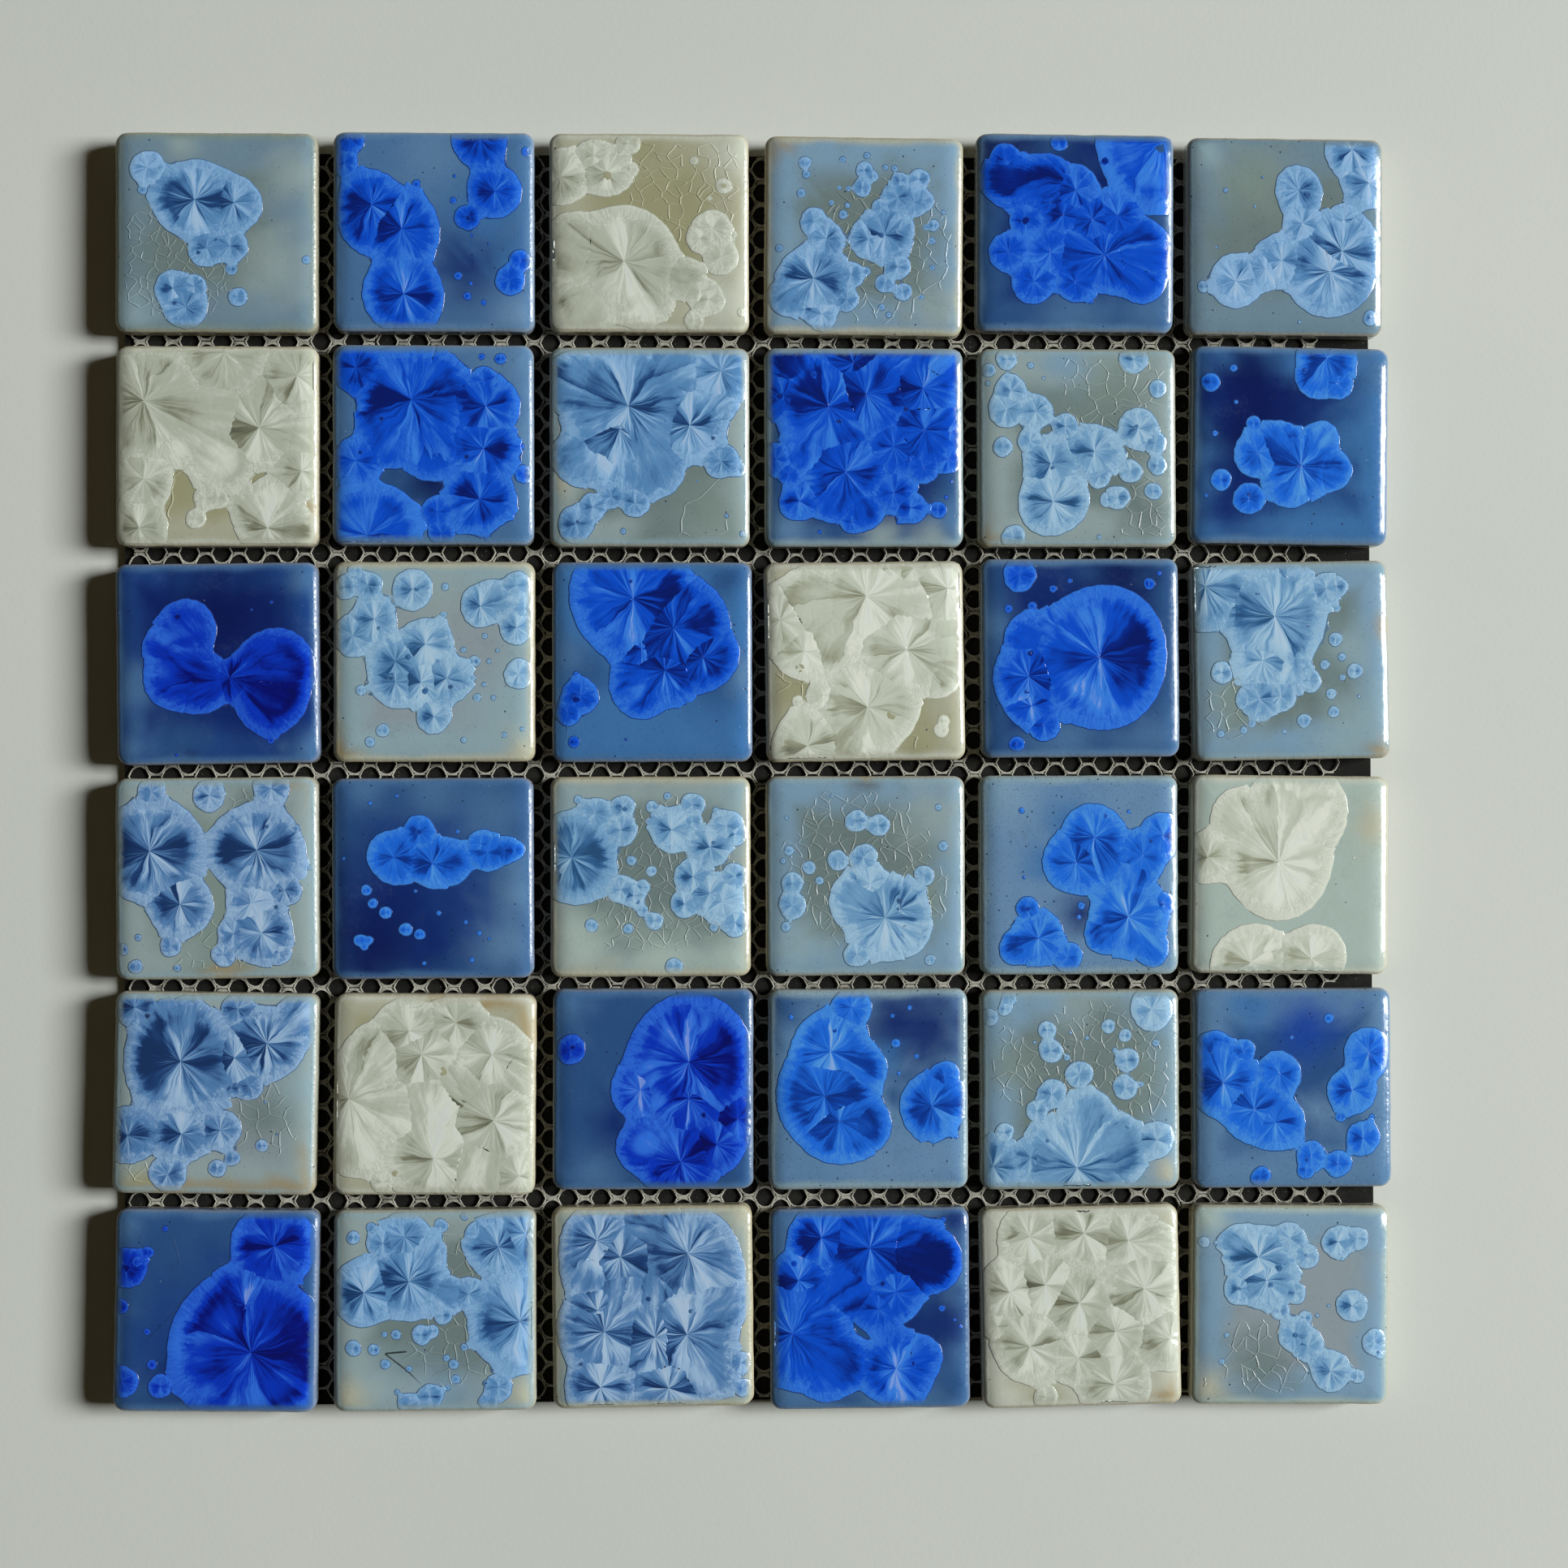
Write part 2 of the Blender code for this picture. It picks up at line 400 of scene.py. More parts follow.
# What the glazes look like: clear glaze between the crystals, and pools where it ran thick.
GLAZES = {
    "ink": (9, 22, 78), "navy": (14, 37, 100), "royal": (24, 62, 150), "marine": (28, 62, 122),
    "slate": (40, 76, 124), "azure": (58, 107, 160), "steel": (68, 106, 148),
    "dusk": (86, 122, 158), "powder": (98, 132, 166), "sky": (116, 148, 172),
    "dove": (104, 130, 146), "mist": (132, 158, 167), "fog": (136, 154, 156),
    "lilac": (132, 146, 154), "grey": (101, 118, 118), "sage": (118, 136, 132),
    "aqua": (158, 176, 170), "shell": (182, 188, 176), "cream": (168, 170, 150),
    "sand": (160, 162, 142), "clay": (150, 139, 110), "khaki": (143, 144, 114),
    "ochre": (146, 126, 80), "brown": (70, 56, 40),
}

# The three shades of a tile's crystals: along dark needles, on the face, in the pale rim.
SHADES = {
    "deep": ((6, 16, 106), (8, 50, 178), (46, 106, 212)),
    "royal": ((6, 32, 120), (10, 74, 196), (54, 122, 220)),
    "soft": ((12, 58, 152), (28, 100, 210), (72, 142, 224)),
    "slate": ((30, 62, 112), (78, 121, 170), (144, 176, 208)),
    "blue": ((34, 72, 124), (84, 132, 180), (134, 174, 212)),
    "frost": ((50, 96, 144), (103, 148, 188), (150, 186, 212)),
    "ivory": ((112, 115, 96), (166, 173, 159), (200, 207, 196)),
    "snow": ((138, 142, 122), (182, 190, 176), (210, 216, 205)),
}

# Each tile: its crystals' shades; the glaze in the middle, in a ring round that and at the
# edge; how far the middle reaches; how finely it is crackled; how many specks it has; pools
# "x y size glaze"; and crystals "x y size", in millimetres from the middle of the tile. Two
# more numbers give the nucleus of a crystal that grew as a lobe of another one. A letter
# after the size means: b a painted sheen of bright and dark fans like a bow tie, m the same
# painted sheen the other way round, d dark, l light, q a small dark pit, k a hole that shows
# the glaze.
TILES = {
    (1, 1): ("blue", "grey dove sage", 14, 1.9, 0.2,
        "-10 -6 13 grey, 14 -8 9 fog, 18 14 6 fog, -8 21 4 fog, -20 -20 6 mist",
        "-5 7.5 10b, 4.3 6.8 6.7b, -16 15 4.2l, -17 9.8 1.3, -2 -4 4.6, 3.5 -3.5 4.2, 3.7 -9 1.5, "
        "-7 -18 5.2, -10 -13.5 4.5b, -5 -13 3, 5.2 -15.5 2.4, 21.3 -6.6 1.1, -4 -5 1q, 0 -2 .9q, "
        "-9.5 -17 1q"),
    (1, 2): ("royal", "steel steel dusk", 16, 0.0, 0.35,
        "8 -7 10 navy, 20 -20 6 powder, 0 18 9 dusk, 12 5 8 azure, 19 -8 5 azure",
        "-14.5 6 8.5b, -15.5 1 6.5, -7.5 .5 9.5b, -7 -15 10b, -4 11 1.2, -20 22 4d, -21 16 3.5, "
        "14.5 9.5 6.5, 8 3.2 3.2d, 11 22 7d, 13 17 2, 22 19 1.3, 18 -11.7 3.7, 20.5 -7 2.8, "
        "4.7 7.2 .9, 5.8 -10.7 1.1, 8 -15.5 1.1, 11.8 -17 .8, 8.8 -12.5 .6, 8.2 3 1.1q, 5 13 .5, "
        "9 -1 .5, 13 -3 .4"),
    (1, 3): ("ivory", "khaki sand shell", 15, 1.3, 0.1,
        "9 11 12 khaki, 18 -16 7 shell, 0 21 6 khaki, 20 19 6 shell",
        "-6 -7 13.5b, -18 -4.5 9, -21 13 7l, -13 18 4.5, -10 14 6, -5 21 3, -7.3 18.5 1.3, "
        "-4.3 14.8 2, 15 1 4.5, 17 -6 4.3, 12 -1.5 3.5, 19.8 -.5 1.2, 8 -11 5, 14 -16 4, 12 -14 4, "
        "10.5 -21 2.5, -16 -18 8, -2 -16 7, 10.7 17 1.1, 17.8 11 2, 17.8 11 .9k, 14.3 8 .7, "
        "4.7 -19.8 .7, 22 -19 1.2, -10 13.5 1.5k"),
    (1, 4): ("blue", "grey sky cream", 15, 1.2, 0.3,
        "4 -3 15 grey, -20 20 4 ochre, 18 -18 7 fog",
        "-12 -10.5 8.5b, -12 3 3.5, -9 -1 4.5, -18 -15 5, -14 -18 2.5, -10 -19 4l, -4 -15.5 3, "
        "-3 -9.5 3.3, 5 0 6.5, 1 -1 4.7, 8 1 4, 8 9 4, 12 8 3.5, 14 8.5 2.8, 8.5 13 2.3, 13 13.5 2.7, "
        "4 6.5 2.5, 6 11 1.3, 0 15.5 2.2, 2 14 1.5, -.5 11.3 2.4, 8 -7.5 3.2, 5 -11.5 2.5, "
        "9.3 -13.5 2.3, -14.2 17 1.7, -13.8 14.3 1.1, -15 9.8 1.2, -5.2 17.9 .9, .6 19 .9, 5 16.2 .8, "
        "7.2 16 .9, -5 4.8 1.2, -7.8 7.6 .8, -4 7 .8, -6 11.2 .7, -3.8 11 .8, 16.5 2.5 1.6, 14.7 2 .9, "
        "16.2 -1.2 1, 18.9 5.6 .7, .6 -8.7 1.2, 4.3 -17.2 .9, 6 -19 .8, 13.7 -14.7 .8, 16.3 -7.6 .8, "
        "-20.2 -3.4 1, 4 0 1.2q"),
    (1, 5): ("royal", "navy slate dusk", 17, 0.0, 0.2,
        "-17 19 10 ink, 4 21 8 navy, 0 -20 9 steel, 18 -19 7 steel, -21 -12 6 slate",
        "21 22 17l, -16 12 7d -1 12, -8 12 7d -1 12, -12 2.5 4, 0 10 6, 4 3 6, -3 4 5, 15 -5 9 7 -5.5, "
        "1 -6 7 7 -5.5, 8 -7 8 7 -5.5, 16 -11 6 7 -5.5, -16 -5 5, -10 -12 5.5, -6 -5 6, 0 -12 5, "
        "10 4 6, -4 21.5 2.3, -17 17 4d, -6 7 4, 3.7 -16.5 .8, -12 2.5 1.5q, 7 17 1.4q"),
    (1, 6): ("blue", "grey dove dove", 15, 0.0, 0.3,
        "-8 14 10 sage, -14 -2 7 grey, 0 -20 8 dove, 21.5 22 2.2 brown, -20 20 5 mist",
        "10.5 -8.5 11b, 13.5 -3.5 10b, -12 -11 6.5l, -5 -8 5l, -1 -6 6.5l, 3 11 6, 16 21 7l, "
        "20 13 6.5b, 4 3 5l, 14 4 4l, -19.8 -12.4 1.6, 20.5 -19.5 2, -14.6 10.8 .7, -5.7 14 .4, "
        "-16.8 -3 .5, 3.3 -20.6 .5, 5 10 1.6q, -7.5 7 .5"),
    (2, 1): ("ivory", "khaki sand shell", 17, 0.1, 0.1,
        "-9 -10 6 khaki, 5 -9 6 khaki, 22 -15 3 ochre, -21 -21 5 cream",
        "-17 10.5 15b, 10 4.2 10b, 2 22 11, 19 16.5 9, -1 7 9, 1 -3 8.5, 21 2 6, 20 -6 7, 11 12.5 5, "
        "-7 1 6, -18 -19.5 7b, -17 -8 7, -2.5 -12.5 3, .5 -12.5 2.6, -4.8 -17.3 2.5, 12 -19.5 7b, "
        "18 -20 6, 8 -15 5, 14 -13 6, 1 17 .4q, .3 15 .4q"),
    (2, 2): ("royal", "slate steel dusk", 16, 0.0, 0.3,
        "0 -9 6 ink, 20 20 8 dusk, 22 2 5 dusk, 18 -21 5 steel",
        "-5 10.5 13b, 12.5 9 8b, 7.5 10.5 4.5, -15.5 -21.5 13l, -18 -4 6, -11 6 4.5, -10 0 6, 0 -2 7, "
        "12 -1 8m, 11 -13 8.5, 1 -16 4, 2 -21 3.3, 0 14 3.3, 12 15 3.5, -18 18 6d, 21.5 -7 2.4, "
        "11.5 20.8 .9, 16 20.3 1.5, 21 -.5 .8, 19 -16.5 .7, 12.5 -22.3 .8, -12 6 1q, 8 -3 1q, "
        "-17 -2 .9q"),
    (2, 3): ("blue", "grey fog mist", 17, 0.1, 0.3,
        "14 -16 9 sage, 3 -20 7 grey, 22 21 4 cream, -22 -8 4 cream",
        "-5 9.5 16m, -7 4 9b, 9.5 5 9b, 17 18 8, 5 18 8, -18 15 8, -17 -3 6.5, 1 -5 7.5, 16 10 5, "
        "-12 -4 6, -5 -5 6, 17 -3.5 4.3, 21 -5.3 2, -9 -12 3, -3.5 -13.5 3.6, -13.5 -14.5 3.5, "
        "-17.5 -18.5 4.5, -6.3 -20.2 .8, 22 -20.8 .8, 18.2 -16.5 .6, 11.3 -8.2 .4, 4 6 1.1q, 15 2 .9q, "
        "-17 -18 .9q"),
    (2, 4): ("royal", "navy slate mist", 18, 0.0, 0.2,
        "-10 -6 5 ink, 10 -7 5 ink, 20 -17 6 steel, -18 -20 6 dusk, 4 -22 5 fog, 16 -22 4 fog",
        "-2.5 20 8d, .5 12.5 12b, -8.5 9.5 13b, -17.5 20 6, -19.5 12 6d, -4.5 -6 10b, 14.5 4 9, "
        "14 14 9b, 18 20 7, 7 0 7, 9 20 6, -13 -1 6, -15.5 -13 5b, -8 -13 5, 0 -15 5, -3 -18 3, "
        "7 -11 5, 11 -14.5 4b, 14 -5 4, 11 -3 3.5, -21 -3 4, -18 -6.5 3, 20 -3 3.5, 17.5 -15 2.2, "
        "20.5 3.5 2, 7 -6.8 1, 19.5 -12 .6, 20.8 -8.3 .5, -10.7 -20.3 .6, 8 -18 .6, -20 12 1.4q, "
        "-6 6 1q, 10 9 1.1q, -12 17 1.2q"),
    (2, 5): ("frost", "grey fog mist", 15, 1.1, 0.3,
        "8 14 11 sage, 16 -16 7 grey, -3 21 6 sky, -22 -22 4 ochre, 10 2 8 grey",
        "-6 -13 8.5b, -6.5 -4 6.5b, 4 -1 6.5b, -17 9 4.5, -10 8.5 4.2, -16 13.5 4, -3 5 3.3, "
        "-11.5 1.5 3.2, 14.5 4.5 5b, 18.5 1 3, 12.5 -5.7 3, 19 -4.3 2.5, 9.5 -12 3, 7 -12.5 2, "
        "18 -10.5 2.2, 19.2 14 2.3, 13.5 21 3.6, -17 21 2.7, -21.3 18.3 1.8, -18 0 2.5, -15.5 -21.5 3, "
        "5 -7 3, -11.2 19.5 .9, -8.2 16.5 .5, 5 -21.5 .7, -21.5 15.2 .7, 14 5 1q, -6 -5 1q, 3 -2 1q"),
    (2, 6): ("soft", "navy azure dusk", 17, 0.0, 0.4,
        "-12 6 13 ink, -20 12 8 navy, -10 19 8 ink, -14 -14 9 navy, 16 2 9 azure, 8 -20 11 azure, "
        "21 18 5 steel",
        "2.5 -5 8b, -8 -2 6, -3 0 6, 0 -9 6, 7 1 5, 10 -6 5, -10 -13 4d, -9 5 2, 8.5 21 7.5b, 6 16 5, "
        "11 15 4, -19.5 14.7 2.4d, -16.8 -8.6 2.7, -14 18.2 1, -13.3 10.1 .6, -18.3 2.5 .8, "
        "-20.3 -12.4 .6, -10 -12 1q, 3 18 1.1q"),
    (3, 1): ("deep", "navy marine steel", 17, 0.0, 0.2,
        "0 12 14 ink, 18 -9 10 navy, -20 -6 7 steel, -9 -20 8 slate, -6.5 -22 1.6 ink, "
        "-20 -20 4 steel, 21 -21 4 steel, 21 20 4 steel",
        "-7 8.5 7 3 -3.5, -9 -2.5 8.5 3 -3.5, -11 4 6 3 -3.5, -4 -5 7 3 -3.5, 13.5 -1 9.5d 3 -3.5, "
        "12.5 -8 9d 3 -3.5, 4 -4 5d 3 -3.5, 12.5 -18.3 1, 13 14.2 .5, 8.3 12.5 .4, -9.7 -21.5 .5, "
        "-9 11 1.2q"),
    (3, 2): ("frost", "lilac mist cream", 16, 0.0, 0.2,
        "14 -12 9 mist, 2 14 8 fog, -22 -21 4 ochre, 21 -21 4 cream, 8 4 8 lilac",
        "-5 17 5b, -15.5 18 3.5, -21 17.5 3, -18.5 21.5 1.8, -14 10 5.5b, -19 6 5, -9 0 6.5, "
        "-2 4 6.5b, 3 -4 6, -3 -5 6b, -9 -5 6, 0 -13 4.3b, 11 13 5b, 14 15 4.5, 19.5 18 3.5, "
        "19.5 8 4.2b, 21.5 12.5 3, 20 -3 3.7, 2.7 17.6 1, 2.3 11 1, 9.5 0 1.5, 8.7 -3.9 1.3, 7 2.7 .8, "
        "12 6 .8, 13 0 .7, 15 2.6 .6, 10.2 -8.6 1.1, 14 -8.6 .7, 11.8 -5.5 .7, -17 -6.8 1.4, "
        "-12 -16.3 1.7, -15 -19 1.3, 7 -18.6 .8, 16.5 -17.4 .8, 20.7 -16 .6, -6 1 1.3q, -2 -7 1.3q, "
        "-10 -4 1.1q, 1 0 1q, 4 -6 1q, -4 17 1q, -13 8 1q"),
    (3, 3): ("royal", "azure azure steel", 16, 0.0, 0.4,
        "14 -4 9 slate, -16 -2 7 slate, 4 -19 9 azure, -21 2 5 steel, 18 20 5 slate, 22 -4 4 dusk",
        "-4.5 15 15.5m, 5 8 13d, -2.5 3 6b, 3 -2 8.5b, -3 -6 7.5, 12 1 8.5d, -17 -8 4.5, -20 -12 3.3, "
        "-18.5 -19 1.5d, -18 -3 .8, 7.5 -9.8 .7, -6.2 -18.4 .4, -18 -9 1.4q, -5 19 .8q"),
    (3, 4): ("snow", "khaki sand shell", 17, 0.1, 0.2,
        "-18 -7 6 khaki, 18 -10 6 sand, 12 -20 7 khaki, -21 20 4 cream",
        ".5 15.5 12b, .5 -11 12b, 10 2.5 12m, -14.5 2.5 7b, -20 10 9, 20 17 10b, -13 14 9, -7 5 8, "
        "12 14 8, 20 4 8, 6 22 6b, 12 22 6b, 18 22 5, -14 -20 9b, -4 -20 6, -10 -8 4, 18 -4 5, "
        "-16 -9.5 1.6, 18.5 -14.5 1.5, 17.8 -16.7 1.8, 5.7 -22 .7, -15.5 -1.5 1.7k, 6 -13 1.8k"),
    (3, 5): ("royal", "navy slate dusk", 17, 0.0, 0.3,
        "-8 17 11 navy, 10 20 8 ink, -4 -20 9 steel, 17 -19 8 steel, -21 8 5 steel",
        "4.5 0 17m, -12.5 -4.5 9m, -12 -11.5 6b, -13 5 5.5, -7 7 3.5, -9 -16 4, -15.5 -20.5 2, "
        "-14.5 19.8 4.2, -17.2 11.7 1.1, -11.5 12.3 1.2, -6.5 16.4 1, -2.5 18.3 .7, 19 20 .7, "
        "16.5 17.5 1.5, -12 1 1.2q, -13 -8 1q"),
    (3, 6): ("frost", "grey sky mist", 16, 1.0, 0.2,
        "16 -14 8 mist, -14 -10 8 sage, 12 -21 7 mist, 14 3 6 mist, 21 -22 4 ochre, 22 8 4 ochre",
        "-4 10.5 13b, -20.5 18 11b, -7 0 7l, 0 -3 5, 4 -5 3, -8 -9 5, -11 -9 3, -3 -8.5 4, 8.5 17 4, "
        "11 17.5 2.8, -1 20 4, -17 -2.7 2.8, 10.5 4.8 1.8, 12 .6 1.1, 7.8 -1.2 1.3, 15 -2.8 2, "
        "12 -4.3 .9, 9.2 -8.2 1.4, 9.7 -12.5 1.5, 2.5 -14.5 1.8, -10 -15 1.1, -12 -16.5 1, "
        "-8 -14.2 .8, -2.3 -17 .7, -17.5 -17.3 1, 11 12.2 1.1, 15.9 -8.9 .5, 2 3 .9q, -8 16 1q, "
        "4 8 .9q"),
    (4, 1): ("slate", "sage fog mist", 16, 1.0, 0.2,
        "0 -20 9 sage, 18 20 4 ochre, 21 2 5 mist, 2 -23 6 ochre, 8 18 5 grey",
        "-15.5 6.5 13b, 9.5 6.5 11.5b, -8.5 -6 8b, 10.5 -13 7.5, 4 -13 4, 8 -6 6l, 13 21 4.5, "
        "-1.5 19.5 4, -15 20.5 3.5, 16 -3 4, 18.7 11.5 1.2, 14.5 -17.5 3.2, 1.5 -18 3, "
        "-10.8 -15.7 2.7, -22 -16.5 1.5, -19 -20.5 1.8, -9.3 -21 1, -18.3 -13.7 .9, 21.7 2.2 .8, "
        "15 -3 .9q, 12 12 .9q, 14 -7 .9q"),
    (4, 2): ("soft", "marine slate steel", 15, 0.0, 0.5,
        "-10 -5 17 navy, -14 -16 11 ink, 14 15 9 steel, 0 21 7 steel, -16 21 5 steel, 21 4 5 steel, "
        "17 -16 7 dusk, 0 -16 6 navy, 20 -4 6 dusk",
        "-9 5 6.5d, 0 3.5 6b, 4 4 5.5, -3 11 4d, 17 6.5 3.5, 13 6 4.5, 11.5 8 3.5, 19.5 6.5 2.5, "
        "-15.5 -2.7 1.4, -14 -5.8 1.3, -11 -8 1.6, -6.3 -12 1.7, -3 -13.2 1.4, -17 -14.5 1.6, "
        "-15 -14.5 1.2, -16 -16 1, -8.3 19.5 .5, -14.5 17.8 .6, 6 11 .6, 1.5 -8.2 .7, 7.8 -10.4 .6, "
        "11 -13 .7, 13.3 -14.3 .5, 9.2 -19.3 .7, -2 -20 .6, -4 -3 .5, -20.8 4.8 .5, -3 11 1.2q"),
    (4, 3): ("frost", "grey fog cream", 17, 1.8, 0.1,
        "2 0 16 grey, -15 -16 7 ochre, -16 -16 8 aqua, 3 -21 9 aqua, 20 -20 7 aqua, -21 16 6 mist, "
        "20 20 5 mist",
        "-18.5 4.5 11d, -13 15 4, -6.5 16.5 3, -17 18.2 1.2, -7 11 4, 5 11 5.5b, 10 17 3, .4 16.5 1.6, "
        "0 13 1.2, 4 19 1, 10 13 2.5, 14 7 5b, 18 12 4, 20 10 3, 10 0 4.5b, 14 -4 5, 17 -6 5l, "
        "8 -6.5 3.5b, 20 0 3.3, 20 -11 3.5, 15 -12 1.2, -7 -3 3.5, -4 -4.5 3, -2 -8 1.6, -2 -2.5 2, "
        ".8 -10.5 2.3, -5.3 -12.3 1.3, -14 -11.5 1.7, -4.5 3.8 1.3, .2 1.3 1.4, 15.5 15.5 1, "
        "5.5 -21.3 2.2, -6 16 1.1q, -3 -6 .9q, 15 8 .9q"),
    (4, 4): ("frost", "grey sky mist", 16, 1.5, 0.2,
        "-2 2 16 grey, 16 14 8 fog, -16 -16 7 mist, 0 23 4 brown, 14 -4 6 sage",
        "4.5 -10 10l, -2 -6 7, 8 -8 7b, 1 -2 5l, 9 -13 6, -.5 4.3 3.4, -2.3 13 2.8, 3 12 2.8, "
        "-6.7 3.7 2.6, -13.5 2 1.7, -11 -1.1 1.1, -17.5 -1.7 2.8, -17.5 -7 3.4, -19 -12 1.3, "
        "13.8 0 2.6, -2.2 -18.5 3.3, 0 -17 2, 18.4 7 1.3, 17.3 16.2 .9, 15.2 -20 1.4, -18.2 6 1.3, "
        "-19.6 3.6 .8, -18.8 13.8 .6, -8 19 .5, -2.3 13 .9q, -18 -2 .6q, 8 -6 1.1q"),
    (4, 5): ("soft", "powder powder mist", 16, 0.0, 1.0,
        "0 -9 5 navy, -16 8 10 powder, -3 13 6 azure, -8 3 5 azure, 6 -2 5 slate, -18 20 7 sky",
        "3.5 9 8b, -1 3 8, 5 4 6, 20 9.5 5.5, 15 4.5 6, 13 0 5, 11.5 -10 9.5b, 17 -17.5 4.5, 6 -14 5, "
        "-10 -15 6.5b, -15 -17 4.5, -12.5 -8 3d, -3 -19.5 3.7, 20 -7 3, .3 -7.3 1, -.2 -10 .7, "
        "-13.8 15.4 .8, -13.3 -.5 .5, 11.8 15 .6, -12.5 -8 1.1q, 6 14 .9q, 17 8 .9q"),
    (4, 6): ("snow", "aqua aqua shell", 17, 0.0, 0.1,
        "14 -10 8 aqua, 20 12 5 cream, -14 -12 8 aqua",
        "1 15 12.5, -3 3 13.5b, -13 14 6.5, -20 4 6.5, -9.5 -21 9.5b, 5 -20 8.5b, 15.2 4.2 .4"),
    (5, 1): ("slate", "lilac fog mist", 16, 1.0, 0.2,
        "11 -5 8 grey, -10 -24 9 ochre, 6 -24 9 ochre, 20 -22 9 ochre, -18 -22 5 khaki, 20 2 5 mist",
        "-8 7.5 14b, 4.5 8.5 7b, 12 12 9b, -7.5 -9.5 7b, -20 -10 7d, 1.5 -8.5 5b, -6 17.5 4, -19 20 5, "
        "5 20 4, 20 18 6, 8 2 3.5, 4 1.5 2.5, -10.5 -19 4.5, 1 -17.5 2.2, 4.5 -15 2, 11.3 -12 1.6, "
        "14.8 -9.3 .4, 12 -1.7 .5, -16 18 1.1q"),
    (5, 2): ("ivory", "khaki sand shell", 18, 0.0, 0.1,
        "14 23 7 ochre, 23 15 6 ochre, -22 2 4 ochre, 2 6.5 4 khaki, -9 -18 5 khaki, 0 23 4 ochre, "
        "12 22 4 ochre",
        "-6 15 8b, -3 9.5 9b, 13.5 9.5 9b, 5 17 7, 19.5 5.5 7, 14 -6 11b, -20 -1 11b, -14 9 8, 6 2 7, "
        "-1 -3 9, 0 -15 11b, -18.5 -12 8, 9.5 -17 9, 20 -19 7, -9 -4 8, -12 -20.5 3, 2 5.5 1.7k, "
        "-9 -18.5 1.1k"),
    (5, 3): ("deep", "slate slate steel", 16, 0.0, 0.2,
        "-16 0 9 slate, -14 -20 6 steel, -20 20 5 steel, -8 -8 6 navy",
        "8.5 6.5 16m, 8.5 -2 10m, -3 0 7l, 6.5 -17 10b, -2 -13 7, 15 -13 7b, 20 -7 6d, -19.5 9.5 3.7, "
        "-19 10 1q, 12 -6 1.1q"),
    (5, 4): ("soft", "dusk dusk mist", 16, 0.0, 0.9,
        "14 14 11 navy, 6 15 8 navy, 4 7 4 azure, 4 -20 10 powder, -20 20 6 slate, 16 -16 8 powder, "
        "7 -1 3 slate",
        "-9 9 10b, -10.5 -1.5 12d, -7 -7.5 10.5d, -2 5 6.5, -4 19.5 5, -2 -8 7, 19 -3 5, 15 -4 8b, "
        "18 3 3.8, 6.5 10.9 1.2, 9.8 19.3 .7, 5.7 17.4 .6, 11.4 7.8 .7, 7.2 3.8 .6, -18.3 17.2 .7, "
        "20.8 -11.2 .7, 14 -11.8 .8, -8 14 1q"),
    (5, 5): ("frost", "grey sky mist", 16, 1.5, 0.3,
        "14 4 10 sage, -16 6 7 sage, 0 6 12 grey, 2 20 8 fog, 6 16 6 grey, 21 -20 4 cream",
        "-1 -18.5 13m, 2 -7 7, 8 -14 8, 8 -16 4, -21 -18 7d, -12 -16 5d, -6.5 -13.5 4, -7 -1 3.7, "
        "-10.5 -5 2.8, 18 -12 4.6, 17 19 5.3l, -7.2 9.3 3, -8 14.2 2.3, -.4 3.6 3.4, 11 7 3, "
        "10.5 .5 3.1, 6.6 15 1.8, 10.6 12.8 1.7, 18 11 1, -18.3 -10 2.4, -18 19.3 1.8, -17 21.8 2, "
        "-21.7 17.3 2.2, -3.3 7.7 .9, 14.5 1.2 .8, 8.2 9.3 .8, 1.5 12.3 .6, -2.4 13.6 .5, -11 11.3 .5, "
        "11 -9 .9q, -8 -12 .9q, -19 -17 .9q"),
    (5, 6): ("soft", "slate dusk dusk", 16, 0.0, 0.8,
        "3 14 9 royal, -4 -16 9 dusk, 17 -18 7 dusk, -10 19 6 azure, 8 2 6 slate, 7 -6 5 powder",
        "-17 1.5 8.5b, -19 9 5, -12 9 3, -3.5 3.5 5.5, -9.5 -5 8, -4.5 -8 7, 18 8.5 6, 14 -.5 6b, "
        "11.2 -6.7 1.5, 16.5 -12 4.3b, 4 -16 3.7, 2.8 -19.5 2.3, 10.5 -18 3.4, -8 -21 2.6d, "
        "8.5 16.6 1.3, -.5 12.1 .6, 18.7 -6.9 .8, -20 9 .9q, -14 9 .8q, 3 -17 .9q"),
    (6, 1): ("deep", "marine slate steel", 16, 0.0, 0.2,
        "-10 14 10 slate, -16 -8 8 marine, -6 -16 7 ink, -21 20 4 steel",
        "8.5 -9.5 19.5m, 13.5 15.5 10b, 7 1.5 7b, -21 10 5d, -18.3 11.5 1.5, -16 13.7 1.6, "
        "-12 19.3 .8, -23 1 2, -15.8 -4.8 .9, -14.5 -12.5 1.3, -12.5 -17.5 3, -21.5 -16.5 4, "
        "-21 10 1.6q"),
    (6, 2): ("blue", "grey fog mist", 15, 1.0, 0.1,
        "-14 -17 9 mist, 3 -17 8 sky, 5 -8 9 grey, -20 -20 5 cream, 8 12 6 grey, 22 -20 4 cream",
        "-16.5 4.5 8b, -6 7 9b, -7 17.5 6, -12 16 4, -2 14 5, 20 -2.5 12.5b, 21.5 18 8, 15 15 8b, "
        "10 18 3, 8 4 4, 3 4 4.5, 1.5 20 1.8, 7 22.3 1, -14.8 19.8 1.3, -19 17.4 1.7, 2 -1 2.3, "
        "-3 -5.5 2.5, -.5 -4.7 1.7, -9 -5.4 1.3, -11.7 -5.3 .8, -19 -8.5 2, -14.2 -8.9 1.5, "
        "-11.5 -12.3 1.3, -6 -13.5 .9, 2.8 -11 .9, 4.5 -12.5 1.3, 5 -16 1.2, 7 -8.5 1, 3 -18 .8, "
